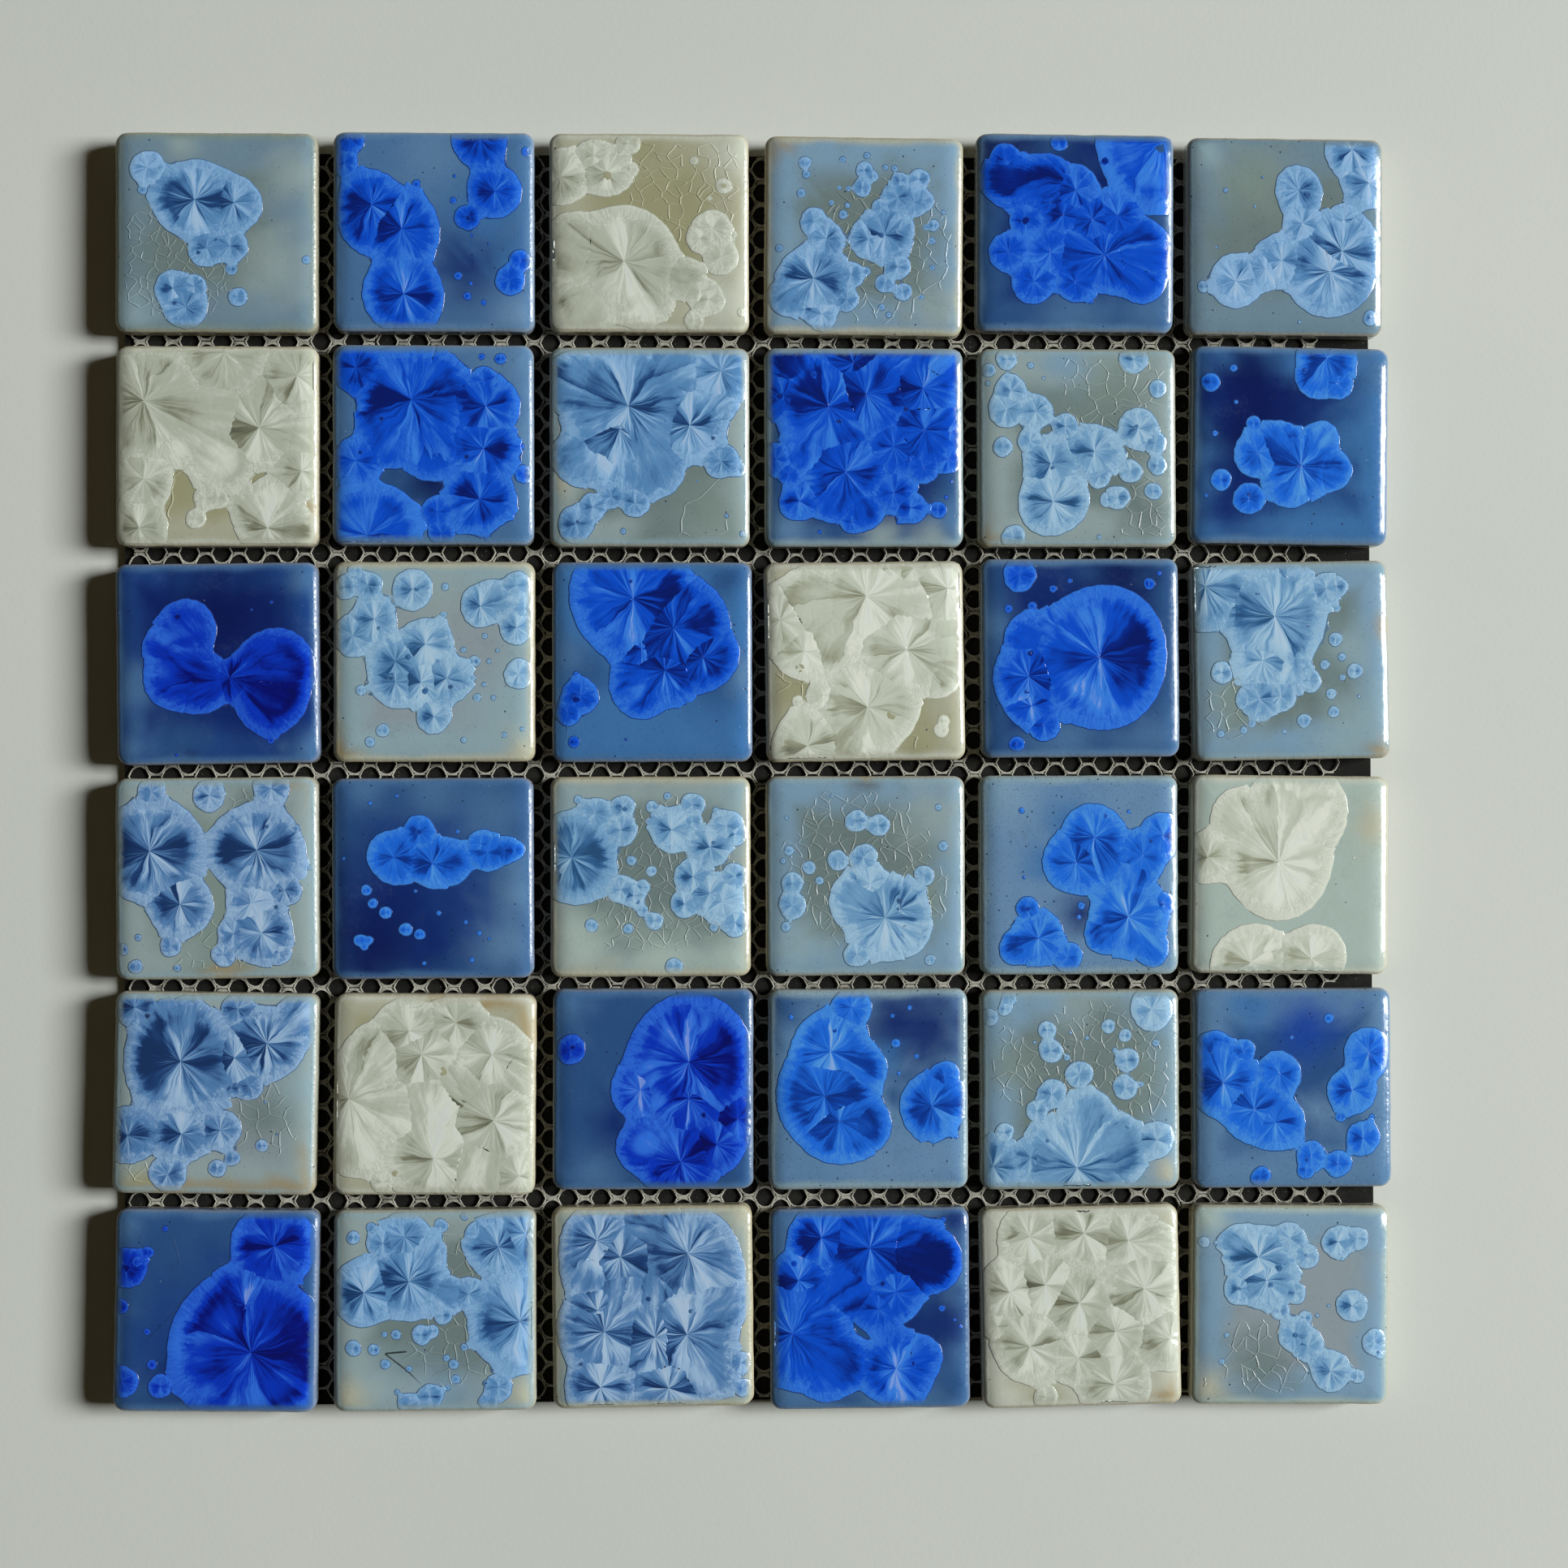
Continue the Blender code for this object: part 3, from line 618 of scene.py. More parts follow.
        "17.8 -13.6 .7, -1 -20 3.2, -6 -22 3, 15 -18 3.5, 12.5 -21.5 2.5, -8.7 -18.9 .8, -9 14 .8q, "
        "12 -17 .8q"),
    (6, 3): ("slate", "sage fog cream", 18, 0.0, 0.1,
        "20 -4 5 sand, 22 22 4 cream",
        "-11.5 -5.5 11b, .5 -7 10b, 8 -6.5 12b, 8.5 12.5 12b, 5.5 18.5 6, -7.5 12 9, -13 16 9b, "
        "-15 8.5 7, -7 4.5 7, -13 -.5 5b, 3.5 -19 9b, -12.5 -18.5 9b, 1 4 6, 16 1 7, 12 -15 8, "
        "-2 19 6, 1 -11 6, 16 7 6, 20.5 -13.5 3, 21 -19.3 2.3, -11 13.5 .8q, -1 2 1.2q, 9 -1 1q, "
        "-17 -13 1q"),
    (6, 4): ("royal", "slate steel steel", 17, 0.0, 0.2,
        "18 -4 8 navy, 10 -4 6 navy, -6 -22 5 slate, 20 -18 6 slate, 20 21 5 navy",
        "0 15 11 0 14.5, 10 14 8.5d 0 14.5, 14 11 8d 0 14.5, -11.5 17 8b, -17 7 7b, -15.5 .5 6, "
        "-18.5 -5.5 14b, -5 5 7b -18.5 -5.5, -8 -12 8b -18.5 -5.5, 6 4 7, 2 0 6, -10 -16 6, 6 -14 9b, "
        "8 -20 5, 11 -12 6, 17 0 .9, 17.5 20.9 .8, 20 -2.8 .5, 21.5 -4.4 .6, -18 11 1.2q, 3 6 1.1q, "
        "10 -13 1q"),
    (6, 5): ("ivory", "sand shell shell", 18, 0.0, 0.1,
        "20 -22 5 ochre, 22 20 4 cream, -9 -21 5 khaki",
        "1 17.5 9b, 11.5 15.5 8b, -8.5 5.5 8b, -17 4 8b, -.5 1 9b, -12.5 -9 9b, 15 4 10b, -1 -12 7, "
        "7.5 -18.5 9b, 21 -8 8, 8 -6 8b, 18 14 6, -9 -21 3, -20 -4 4, -12 17 8"),
    (6, 6): ("frost", "lilac sky aqua", 16, 1.1, 0.2,
        "-8 -14 9 grey, 12 8 8 lilac, 0 0 6 lilac, -21 21 5 aqua, -20 -20 5 cream",
        "-13 15 4.5, -8 11.5 8b, -6 6 7b, -12.5 4 4, -.5 16 4, 3.5 11.8 3.2, 11 15.2 4b, 15.5 16 3, "
        "14.5 0 4b, .9 3 2.8, -2.7 -1.3 2.4, 3.3 -2.8 1.8, 1 -7 4.3, 4 -9.5 4, 9.5 -15.5 5b, "
        "15.9 -16.7 1.9, 20 -8.5 3.2, 21.5 -11 1.8, -21 15 1.5l, -18 14.8 .8, 12 11.5 1, 6.2 -2.3 .6, "
        "8.9 0 .5, -15.5 -7 .7, -16.6 -13.3 .8, -3 9 1.5q, -5 5 1.2q, -12.5 4 .9q, 3.5 11.8 .9q, "
        "1 -7 1.2q"),
}

# Patches where a tile's crystals are paler or darker: "x y size shift", in millimetres from
# the middle of the tile; the shift is above nought where they are paler.
VEILS = {
    (1, 1): "-2 5 3 -0.3, -10 8 4 0.15, 5 8 3 0.2, -4 2 16 -0.08, 4.5 6 3.5 -0.3, -10 4.5 3.5 0.6",
    (1, 2): "-11.5 -14 4 0.4",
    # The first patch here darkens the crystals by the tile's left side: painted shade.
    (1, 3): "-19.5 11 4.5 -0.45, -2 -13 4 -0.2, -15 -12 5 0.2",
    (1, 4): "-16 -9.5 3 0.4",
    (1, 5): "-15.5 15 4 0.25, 12.5 16.5 4 0.3, -10 -9 5 0.3, -5.5 4.5 6 -0.25, 17 7 3 -0.2",
    (1, 6):
        "18 -16 4 -0.5, 8 -10 4.5 0.4, 10 -3 3 0.3, 4 -12.5 3 0.6, 15.5 12 3 0.2, 14 17 3 -0.2, "
        "-4.5 -2 3 -0.3",
    (2, 1): "-11 8 6 -0.4, -16 19 8 -0.25, -14 -18 5 -0.3, 4 6 16 -0.12",
    (2, 2): "-18.5 12.5 4 -0.35, -1.5 8 4 -0.3, 2.5 1.5 4 -0.35, 0 18 5 0.2, -9 -12 4 -0.25",
    (2, 3):
        "-17 18.5 4 0.5, 9 20 6 0.8, 6 1 3 0.3, 4 8 4.5 0.45, 13 6 3.5 -0.3, -12 0.5 3.5 0.4, "
        "-3.5 1 3.5 -0.3, 2.5 -6 3.5 -0.3",
    (2, 4): "-16 17 5 0.4, 3 16.5 4 -0.6, -5.5 11 3 -0.3, 20 6 4 0.3, -10 -7 3.5 0.4",
    (2, 5): "-9.5 -11 4 0.35, -1 -15 3 -0.3, -5 -1 2.5 -0.35, 0.5 -1.5 2.5 0.25",
    (2, 6): "5 -1.5 3 -0.35, 8 17 3 0.2",
    (3, 1): "-13 -2 3 0.6, -12.5 6 3 0.35, -3 1 4 -0.4",
    (3, 2):
        "-1 1 3 0.5, -15.5 11 3 0.4, -9 -3 4 -0.2, -10 0.5 3 -0.35, -5.5 5 3 0.3, 3 -7.5 3 -0.35, "
        "12 16 3 -0.3, -13 14 5 -0.2",
    (3, 3): "-10 9 3.5 0.35, -3.5 -4 4 0.35, 4 0 3 -0.3",
    (3, 4):
        "-10 15 6 0.25, -5.5 6.5 4 0.25, -21 6 4 -0.25, 17.5 4 6 0.25, 8 11 3.5 -0.3, 6 -8 6 -0.3, "
        "-7 -10.5 4 0.35",
    (3, 5): "0 10 3 0.35, -0.5 -7.5 3.5 0.65, 8 -6 4 -0.55, -14 -11.5 3 0.5, -7 -2.5 3 0.25",
    (3, 6): "-19 9.5 4 -0.4, 1.5 6 3 0.3, -1.5 0 3 -0.35, -4 18.5 3 -0.25, -9 8 3 0.2",
    (4, 1): "-9 7.5 5 -0.45, 8.5 3 3 0.35, 12.5 -14 3.5 0.4, 8.5 12.5 3 0.3, 12.5 2.5 3 -0.25",
    (4, 2): "4.5 4 4 -0.6, 16.5 5.5 3 -0.4, -12.5 6 3 0.3",
    (4, 3): "-11 5 5 -0.4, 5.5 13 4 -0.2",
    (4, 4): "7 -5 3 -0.35, -2 -4 3.5 0.3, 9 -12 5 -0.3",
    (4, 5): "-14 -14.5 3.5 0.45, 7 -9 4 0.45, 2 11.5 3 0.3, 5 4 3.5 -0.3",
    (4, 6): "-21.5 5 4 -0.5, -9 3.5 4 0.4, -7.5 15 4 0.3",
    (5, 1):
        "-13 2 3.5 -0.3, -14 21 4 -0.6, -8 -3 3.5 0.4, -9 17.5 5 -0.3, -21 13 3.5 -0.3, -2 12 4 -0.25, "
        "19 18 3 -0.2, -14.5 13 3 0.3, -5 5 18 -0.25, -3 6 4 -0.2",
    (5, 2):
        "-18 -4 6 -0.15, -20 -15 4 -0.6, 3 18 5 -0.25, 6 8 6 0.25, 7.5 -7.5 4 0.4, "
        "-6.5 -16.5 3.5 0.35, 9 9 4 0.25, 20 9 3.5 0.25",
    (5, 3):
        "4 13 4 0.45, -1 6 4 0.45, -5 1 3 0.35, 3 1 3 -0.75, 8 14 3 -0.4, -2 -14 5 0.75, "
        "9.5 -14.5 3.5 -0.35, 20 -10 3 0.4",
    (5, 4): "-12.5 9 4 0.4, 17.5 -0.5 3 -0.35, 15 5 3 -0.4, -6 -3 3 0.25, -5.5 -13 4 0.35",
    (5, 5): "6 -19 5 0.25",
    (5, 6): "-12 5.5 3.5 -0.35",
    (6, 1):
        "1.5 -15 5 -0.7, -6 -7 5 0.5, 2.5 -3 3.5 0.65, 15 -2 5 -0.4, 19 2 3 -0.3, 8.5 16 4 0.35, "
        "20 18 3 0.3, 15.5 -17 4 0.35",
    (6, 2): "10.5 14 3 0.4, 18 16 3 -0.35, -2 6 3.5 -0.25",
    (6, 3):
        "-17 13 3.5 0.35, -3.5 19 3.5 0.35, -14 6.5 3.5 -0.65, 7 1 4 0.3, -3.5 6.5 3 -0.35, "
        "4 12 4 0.4, -16.5 -2 4 0.5, 4 -4.5 4 0.25, -16 -17.5 3 0.4, -1 -18 3 0.4, 15 12 4 -0.2",
    (6, 4): "3.5 -15 4 0.8, 5.5 -5.5 3 -0.4, -10 12 3.5 -0.3, -17.5 12 3 0.3, -4 -2 3.5 -0.3",
    (6, 5): "10.5 4.5 4 0.45, 12 -9.5 5 -0.4, 19 -6 4 0.45",
    (6, 6): "-13 15 3.5 0.7, -9 6.5 2.5 0.3",
}

# Threads and hairs that were fired in, on a tile: their bends, and how dark they are.
HAIRS = {
    (6, 2): (("-6.5 -9.4, -11.6 -9.8, -6.2 -14, -3 -17.2", 1.0),),
    (6, 1): (("-16 -7, -12 -3, -8 2, -6.4 5", 0.25), ("-10 17, -8.5 12, -9 8", 0.15)),
    (3, 3): (("-21 -12, -20 -16, -20.5 -20", 0.2),),
}

# ---------------------------------------------------------------- shapes, in millimetres

SIDE = 47.5             # of a tile
CORNER = 2.6            # the radius of its corners
HALF = SIDE / 2
SKIN = 0.15             # how far the bare glaze lies below the tops of the crystals
PITCH = 51.0            # from one tile to the next

# How matt the rolled edges are from the first column to the last: handling dulled them.
DULLNESS = (1.0, 0.9, 0.65, 0.45, 0.55, 0.2)

# How each tile is turned, anticlockwise in degrees; its place comes from its solid.
TURNS = {(1, 4): -0.5, (1, 5): -0.4, (1, 6): -0.4, (2, 6): -0.9, (3, 1): 0.7, (3, 4): 0.7,
         (3, 5): 0.3, (3, 6): 0.9, (4, 1): 0.5, (4, 2): 0.2, (4, 6): -0.7, (5, 1): -1.2,
         (5, 2): -0.6, (5, 3): -0.2, (6, 1): -1.0, (6, 3): 0.5, (6, 4): 0.2, (6, 5): 1.0,
         (6, 6): -0.7}

# The rolled edge: how far in from the side, and how far down from the pillow.
ROLL = ((0.0, 0.61), (0.02, 0.39), (0.08, 0.26), (0.22, 0.15), (0.42, 0.075), (0.66, 0.03),
        (0.92, 0.006), (1.2, 0.0))
# The pillow: how wide its slope is, how far it falls at the side, how it steepens on the way,
# and the radius of its corners.
SLOPE, FALL, STEEPNESS, INNER_CORNER = 6.0, 1.14, 2.73, 4.5


def listed(text):
    """The entries of a recipe's text, each split into its words."""
    return [entry.split() for entry in text.split(",")]


def ease(value, low, high):
    """Goes smoothly from nought to one while the value goes from low to high."""
    share = np.clip((value - low) / (high - low), 0.0, 1.0)
    return share * share * (3 - 2 * share)


def rotated(points, angle):
    """Points turned round the tile's middle, anticlockwise by an angle in radians."""
    return points @ np.array([[math.cos(angle), math.sin(angle)],
                              [-math.sin(angle), math.cos(angle)]])


def ripple(points, size, seed):
    """Smooth unevenness between about -1 and 1, with swells about size across."""
    dice = np.random.default_rng(seed)
    ways = dice.normal(size=(8, 2))
    ways *= (dice.uniform(0.6, 1.5, 8) * 2 * math.pi / size / np.linalg.norm(ways, axis=1))[:, None]
    return np.sin(points @ ways.T + dice.uniform(0, 6.3, 8)).sum(axis=1) / 3.2


def inset_of(points, radius=CORNER):
    """How far a point on a tile is in from the tile's side, with corners of this radius."""
    corner = np.abs(points) - (HALF - radius)
    outside = np.linalg.norm(np.maximum(corner, 0.0), axis=1)
    return radius - outside - np.minimum(np.max(corner, axis=1), 0.0)


def glaze_height(points, seed, thickness):
    """Height of the glaze's surface over the tile's underside."""
    inset = inset_of(points)
    roll = np.array(ROLL)
    uneven = 0.022 * ripple(points, 11.0, seed) * ease(inset, 1.0, 4.0)
    lip = 0.03 * ripple(points, 2.6, seed + 1) * ease(inset, 0.1, 0.7) * ease(-inset, -2.2, -1.0)
    pillow = FALL * (1 - np.minimum(inset_of(points, INNER_CORNER) / SLOPE, 1.0)) ** STEEPNESS
    return thickness - SKIN - pillow - np.interp(inset, roll[:, 0], roll[:, 1]) + uneven + lip


# Places of the finishes on a tile's mesh.
GLAZE, CRYSTAL, BARE = 0, 1, 2


class Heap:
    """Points and faces of several finishes, gathered into one mesh, with what each point knows."""

    def __init__(self):
        self.points, self.corners, self.counts, self.kinds, self.soft = [], [], [], [], []
        self.traits = {"ray": [], "grain": [], "habit": []}
        self.total = 0

    def add(self, points, faces, **traits):
        """Takes in points, and groups of faces, each with its finish and whether it is smooth."""
        points = np.asarray(points, float)
        self.points.append(points)
        for group, kind, soft in faces:
            self.corners.append((group + self.total).ravel())
            self.counts.append(np.full(len(group), group.shape[1]))
            self.kinds.append(np.full(len(group), kind))
            self.soft.append(np.full(len(group), soft))
        for name, rows in self.traits.items():
            rows.append(np.asarray(traits.get(name, np.zeros((len(points), 3))), float))
        self.total += len(points)

    def mesh(self, name, points, extra):
        """The finished mesh, on points in metres; extra holds more attributes, by name."""
        mesh = bpy.data.meshes.new(name)
        corners, counts = np.concatenate(self.corners), np.concatenate(self.counts)
        mesh.vertices.add(len(points))
        mesh.vertices.foreach_set("co", points.astype(np.float32).ravel())
        mesh.loops.add(len(corners))
        mesh.loops.foreach_set("vertex_index", corners.astype(np.int32))
        mesh.polygons.add(len(counts))
        starts = np.concatenate(([0], np.cumsum(counts)[:-1]))
        mesh.polygons.foreach_set("loop_start", starts.astype(np.int32))
        mesh.polygons.foreach_set("material_index", np.concatenate(self.kinds).astype(np.int32))
        mesh.update(calc_edges=True)
        mesh.polygons.foreach_set("use_smooth", np.concatenate(self.soft))
        for title, rows in {**{k: np.concatenate(v) for k, v in self.traits.items()},
                            **extra}.items():
            kind, field = {1: ("FLOAT", "value"), 3: ("FLOAT_VECTOR", "vector"),
                           4: ("FLOAT_COLOR", "color")}[rows.shape[1]]
            layer = mesh.attributes.new(title, kind, "POINT")
            layer.data.foreach_set(field, rows.astype(np.float32).ravel())
        return mesh


def band(lower, upper, count):
    """Quads between two rings of count points that start at these numbers."""
    steps = np.arange(count)
    following = (steps + 1) % count
    return np.stack([lower + steps, lower + following, upper + following, upper + steps], axis=1)


def cap(ring, centre, count, upward=True):
    """Triangles from a ring of points to one in its middle."""
    steps = np.arange(count)
    following = (steps + 1) % count
    pair = (ring + steps, ring + following) if upward else (ring + following, ring + steps)
    return np.stack([*pair, np.full(count, centre)], axis=1)


CORNER_POINTS, SIDE_POINTS = 9, 24      # of one ring round a tile
RING_POINTS = 4 * (CORNER_POINTS + SIDE_POINTS)


def square_ring(inset):
    """Points anticlockwise round a tile, this far in from its sides."""
    radius = max(CORNER - inset, 0.05 + 0.02 * (HALF - inset))
    flat = HALF - inset - radius
    quarter = np.linspace(0, math.pi / 2, CORNER_POINTS)
    corner = np.stack([flat + radius * np.cos(quarter), flat + radius * np.sin(quarter)], axis=1)
    along = np.linspace(0, 1, SIDE_POINTS + 2)[1:-1]
    side = np.stack([flat - 2 * flat * along, np.full(SIDE_POINTS, flat + radius)], axis=1)
    piece = np.concatenate([corner, side])
    return np.concatenate([rotated(piece, turns * math.pi / 2) for turns in range(4)])


# The body's rings: how far in and how high on the bare foot; how far in and how far above the
# glaze's lower edge on the sides; and how far in on the face.
DRIP = 1.25             # how high over the underside the glaze's lower edge is
FOOT = ((0.40, 0.0), (0.12, 0.25), (0.10, 0.95))
GLAZED_SIDE = ((0.10, 0.0), (0.0, 0.22), (0.0, 1.2))
FACE_RINGS = (0.0, 0.02, 0.08, 0.22, 0.42, 0.66, 0.92, 1.2, 1.6, 2.2, 2.9, 3.7, 4.6, 6.0, 8.0,
              11.0, 14.5, 18.0, 21.0)


def add_body(heap, seed, surface):
    """The pressed tile: a biscuit foot, glazed sides, a rolled edge and the glazed face.

    Here and below, surface gives the glaze's height at places on the tile.
    """
    rings, heights = [], []
    for inset, height in FOOT:
        rings.append(square_ring(inset))
        heights.append(np.full(RING_POINTS, height))
    ends = square_ring(0.0)
    drip = DRIP + 0.28 * ripple(ends, 7.0, seed + 5) + 0.12 * ripple(ends, 2.3, seed + 6)
    wobble = 0.055 + 0.05 * ripple(ends, 8.0, seed + 7)
    inward = ends / np.abs(ends).max(axis=1)[:, None]
    for inset, rise in GLAZED_SIDE:
        rings.append(square_ring(inset) - inward * wobble[:, None])
        heights.append(drip + rise)
    for inset in FACE_RINGS:
        flat = square_ring(inset)
        share = 1 - min(inset / 2.0, 1.0)
        rings.append(flat - inward * (wobble * share)[:, None])
        heights.append(surface(flat))
    points = np.concatenate([np.column_stack(pair) for pair in zip(rings, heights)])
    middle = np.array([[0.0, 0.0, heights[-1].mean()], [0.0, 0.0, 0.0]])
    points = np.concatenate([points, middle])
    top, bottom = len(points) - 2, len(points) - 1
    last = (len(rings) - 1) * RING_POINTS
    bands = [band(k * RING_POINTS, (k + 1) * RING_POINTS, RING_POINTS)
             for k in range(len(rings) - 1)]
    glazed, bare = np.concatenate(bands[len(FOOT):]), np.concatenate(bands[:len(FOOT)])
    heap.add(points, [(bare, BARE, True), (cap(0, bottom, RING_POINTS, False), BARE, False),
                      (glazed, GLAZE, True), (cap(last, top, RING_POINTS), GLAZE, True)])


RAY_GAP = 0.66          # between two rays at a crystal's outline
VERGE = 0.6             # how far in from the side the crystals stop
INNER_VERGE = 1.6       # how far in from the side their middles stay
OVERLAP = 0.7           # how far two crystals run into each other where they meet
RELIEF = 0.085          # how high a crystal stands over the glaze
SKIRT, ROOT = 0.22, 0.30        # how deep its outline and its root go down into the glaze
FAR = 1e9               # further than anything grows


def lobed(size, angle, dice):
    """How the free edge of a crystal swells and sinks: lobes, with notches between them."""
    lobes = max(round(2 * math.pi * size / 3.8), 3)
    phase = dice.uniform(0, 6.3, 4)
    warped = angle + 0.22 * np.sin(2 * angle + phase[0]) + 0.12 * np.sin(3 * angle + phase[1])
    lobe = np.abs(np.cos(lobes * warped / 2 + phase[2])) - 0.64
    lean = np.sin(2 * angle + phase[3]) + 0.6 * np.sin(3 * angle + phase[1])
    fringe = np.sin(lobes * 3.0 * warped + phase[0])
    return (min(0.05 * size, 0.20) * lobe + 0.03 * size * lean
            + min(0.01 * size, 0.035) * fringe)


def outside(points, cluster):
    """How far a point is outside a cluster of crystals; less than nothing inside it.

    The outlines of large neighbours run softly into each other, those of small ones don't.
    """
    meld = min(max(0.24 * (cluster[0][2] - 1.2), 0.06), 1.3)
    reach = [np.linalg.norm(points - np.array([[x, y]]), axis=1) - size for x, y, size in cluster]
    nearest = np.minimum.reduce(reach)
    return nearest - meld * np.log(sum(np.exp((nearest - away) / meld) for away in reach))


def fan_out(nucleus, neighbours, dice):
    """Directions from a nucleus, how far it would grow each way, and how far it does.

    Two crystals that started together meet where both have grown to the same age, so their
    join is where the distance to each nucleus, less each one's size, is the same.
    """
    x, y, size = nucleus
    count = int(np.clip(2 * math.pi * size / RAY_GAP, 16, 96))
    angle = (np.arange(count) + dice.uniform()) * 2 * math.pi / count
    way = np.stack([np.cos(angle), np.sin(angle)], axis=1)
    reach = np.full(count, FAR)
    for other_x, other_y, other_size in neighbours:
        gap = np.array([other_x - x, other_y - y])
        older = other_size - size
        towards = way @ gap + older
        square = gap @ gap - older * older
        if square > 0:
            meets = towards > 1e-6
            join = np.where(meets, square / (2 * np.where(meets, towards, 1.0)), FAR)
            reach = np.minimum(reach, join + OVERLAP)
    free = np.full(count, float(size))
    cluster = [nucleus, *neighbours]
    for _ in range(14 if neighbours else 0):
        ends = np.array([[x, y]]) + way * free[:, None]
        free = np.minimum(free + np.maximum(-outside(ends, cluster), 0) * 0.8, reach + 3)
    lobes = lobed(size, angle, dice)
    reach = np.minimum(reach, free + lobes)
    limit = HALF - VERGE
    for axis in (0, 1):
        step, start = way[:, axis], (x, y)[axis]
        slow = np.abs(step) < 1e-6
        room = np.where(slow, FAR, (np.sign(step) * limit - start) / np.where(slow, 1.0, step))
        reach = np.minimum(reach, np.maximum(room, 0.05))
    return way, free + lobes, reach, lobes


def ring_lengths(size, reach, inset):
    """How far out a crystal's rings of points lie; they are closer near the tile's side."""
    steps = (0.25, 0.5, 0.7, 0.84) if size > 2.2 else (0.5,)
    if size > 4 and inset < 3.5:
        steps = (0.2, 0.4, 0.55, 0.66, 0.75, 0.83, 0.90) if size > 8 else (0.25, 0.5, 0.66, 0.80)
    return [reach * step for step in steps] + [
        np.maximum(reach - 0.6 * min(1, size / 2.5), reach * 0.88),
        np.maximum(reach - 0.18, reach * 0.95), reach]


def habit_of(crystal):
    """How a crystal looks: its rim's width, its tone, the bow of its painted sheen, and where its
    patterns start.
    """
    size, mark = crystal.size, crystal.mark
    rim = min(0.31 * size, 0.9 + 0.16 * size)
    own = np.random.default_rng(int(abs(crystal.nucleus[0] * 97 + crystal.nucleus[1] * 13) * 10))
    shift = {"d": -0.22, "l": 0.24, "q": -0.55}.get(mark, own.uniform(-0.07, 0.07))
    # bow sets the painted sheen: how strongly, and which way round, the fans are painted bright and
    # dark.
    bow = {"b": 1.0, "m": -1.0, "q": 0.2}.get(mark, own.choice((-1, 1)) * own.uniform(0.3, 0.7))
    if size < 1.4 and mark != "q":
        rim, shift, bow = 0.72 * size, -0.28, 0.2
    return rim, shift, bow, own.uniform(0, 160)


def add_crystal(heap, crystal, neighbours, seed, surface, lift=0.0):
    """One crystal: a low closed blister with its edge sunk in the glaze."""
    nucleus = crystal.disc()
    x, y, size = nucleus
    centre = np.array([[x, y]])
    way, free, reach, lobes = fan_out(nucleus, neighbours, np.random.default_rng(seed))
    count = len(way)
    lengths = ring_lengths(size, reach, inset_of(centre + way * reach[:, None]).min())
    flat = np.concatenate([centre] + [centre + way * length[:, None] for length in lengths])
    # The blister rises from its free edge, and dips where it meets a neighbour.
    depth = -outside(flat, [nucleus, *neighbours])
    depth[1:] += np.tile(lobes, len(lengths)) * ease(np.concatenate(lengths), 0, 0.6 * size)
    ground = surface(flat)
    rise = lift + RELIEF * ease(depth, -0.02, 0.55) * min(1.0, 0.35 + size / 4)
    rise = rise * (0.5 + 0.5 * ease(inset_of(flat), 0.6, 2.4))
    under = np.concatenate([[0.0]] + [ease(reach - length, 1.3, 0.0) for length in lengths])
    inner = inset_of(flat[-count:]) > 1.2
    met = np.concatenate([[0.0]] + [np.where((free - reach > 0.05) & inner, 1.0, 0.0)]
                         * len(lengths))
    rise = rise - 0.035 * under * met + 0.012 * ripple(flat, 1.6, seed)
    rise[-count:] = np.where(free - reach < 0.05, 0.004, rise[-count:])
    sunk = ground[-count:] - SKIRT
    points = np.column_stack([flat, ground + rise])
    skirt = np.column_stack([flat[-count:], sunk])
    base = np.array([[x, y, ground[0] - ROOT]])
    points = np.concatenate([points, skirt, base])
    rings = len(lengths)
    kind = GLAZE if crystal.mark == "k" else CRYSTAL
    faces = [(np.concatenate([band(1 + k * count, 1 + (k - 1) * count, count)
                              for k in range(1, rings)]), kind, True),
             (cap(1, 0, count), kind, True),
             (band(1 + rings * count, 1 + (rings - 1) * count, count), kind, False),
             (cap(1 + rings * count, 1 + (rings + 1) * count, count, False), kind, False)]
    # What the finish has to know: the ray from the nucleus, the grain and the habit.
    rim, shift, bow, start = habit_of(crystal)
    rows = len(points)
    ray = np.column_stack([points[:, :2] - crystal.nucleus, np.full(rows, crystal.spread)])
    grain = np.column_stack([np.concatenate([depth, depth[-count:], depth[:1]]),
                             np.full(rows, rim), np.full(rows, start)])
    habit = np.tile([shift, bow, 1.0 if size > 2.2 else 0.4], (rows, 1))
    heap.add(points, faces, ray=ray, grain=grain, habit=habit)


def add_vein(heap, line, width, height, surface, ridge=1.0, tail=0.15):
    """A thin raised line in the glaze, three-sided and closed, tapering to its end."""
    line = np.asarray(line)
    count = len(line)
    ahead = np.gradient(line, axis=0)
    ahead /= np.linalg.norm(ahead, axis=1)[:, None] + 1e-9
    side = np.column_stack([-ahead[:, 1], ahead[:, 0]])
    taper = np.interp(np.linspace(0, 1, count), (0, 0.1, 0.7, 1), (0.7, 1, 0.8, tail))[:, None]
    flat = np.concatenate([line - side * taper * width / 2, line, line + side * taper * width / 2])
    ground = surface(flat)
    lift = np.concatenate([np.full(count, -0.015), height * taper[:, 0], np.full(count, -0.015)])
    points = np.column_stack([flat, ground + lift])
    step = np.arange(count - 1)
    strips = [np.stack([step + a * count, step + a * count + 1, step + b * count + 1,
                        step + b * count], axis=1) for a, b in ((0, 1), (1, 2), (2, 0))]
    ends = np.array([[0, count, 2 * count], [count - 1, 3 * count - 1, 2 * count - 1]])
    marks = np.tile([ridge, 0.0, 0.0], (len(points), 1))
    heap.add(points, [(np.concatenate(strips[:2])[:, ::-1], GLAZE, False),
                      (strips[2][:, ::-1], GLAZE, False), (ends, GLAZE, False)], grain=marks)


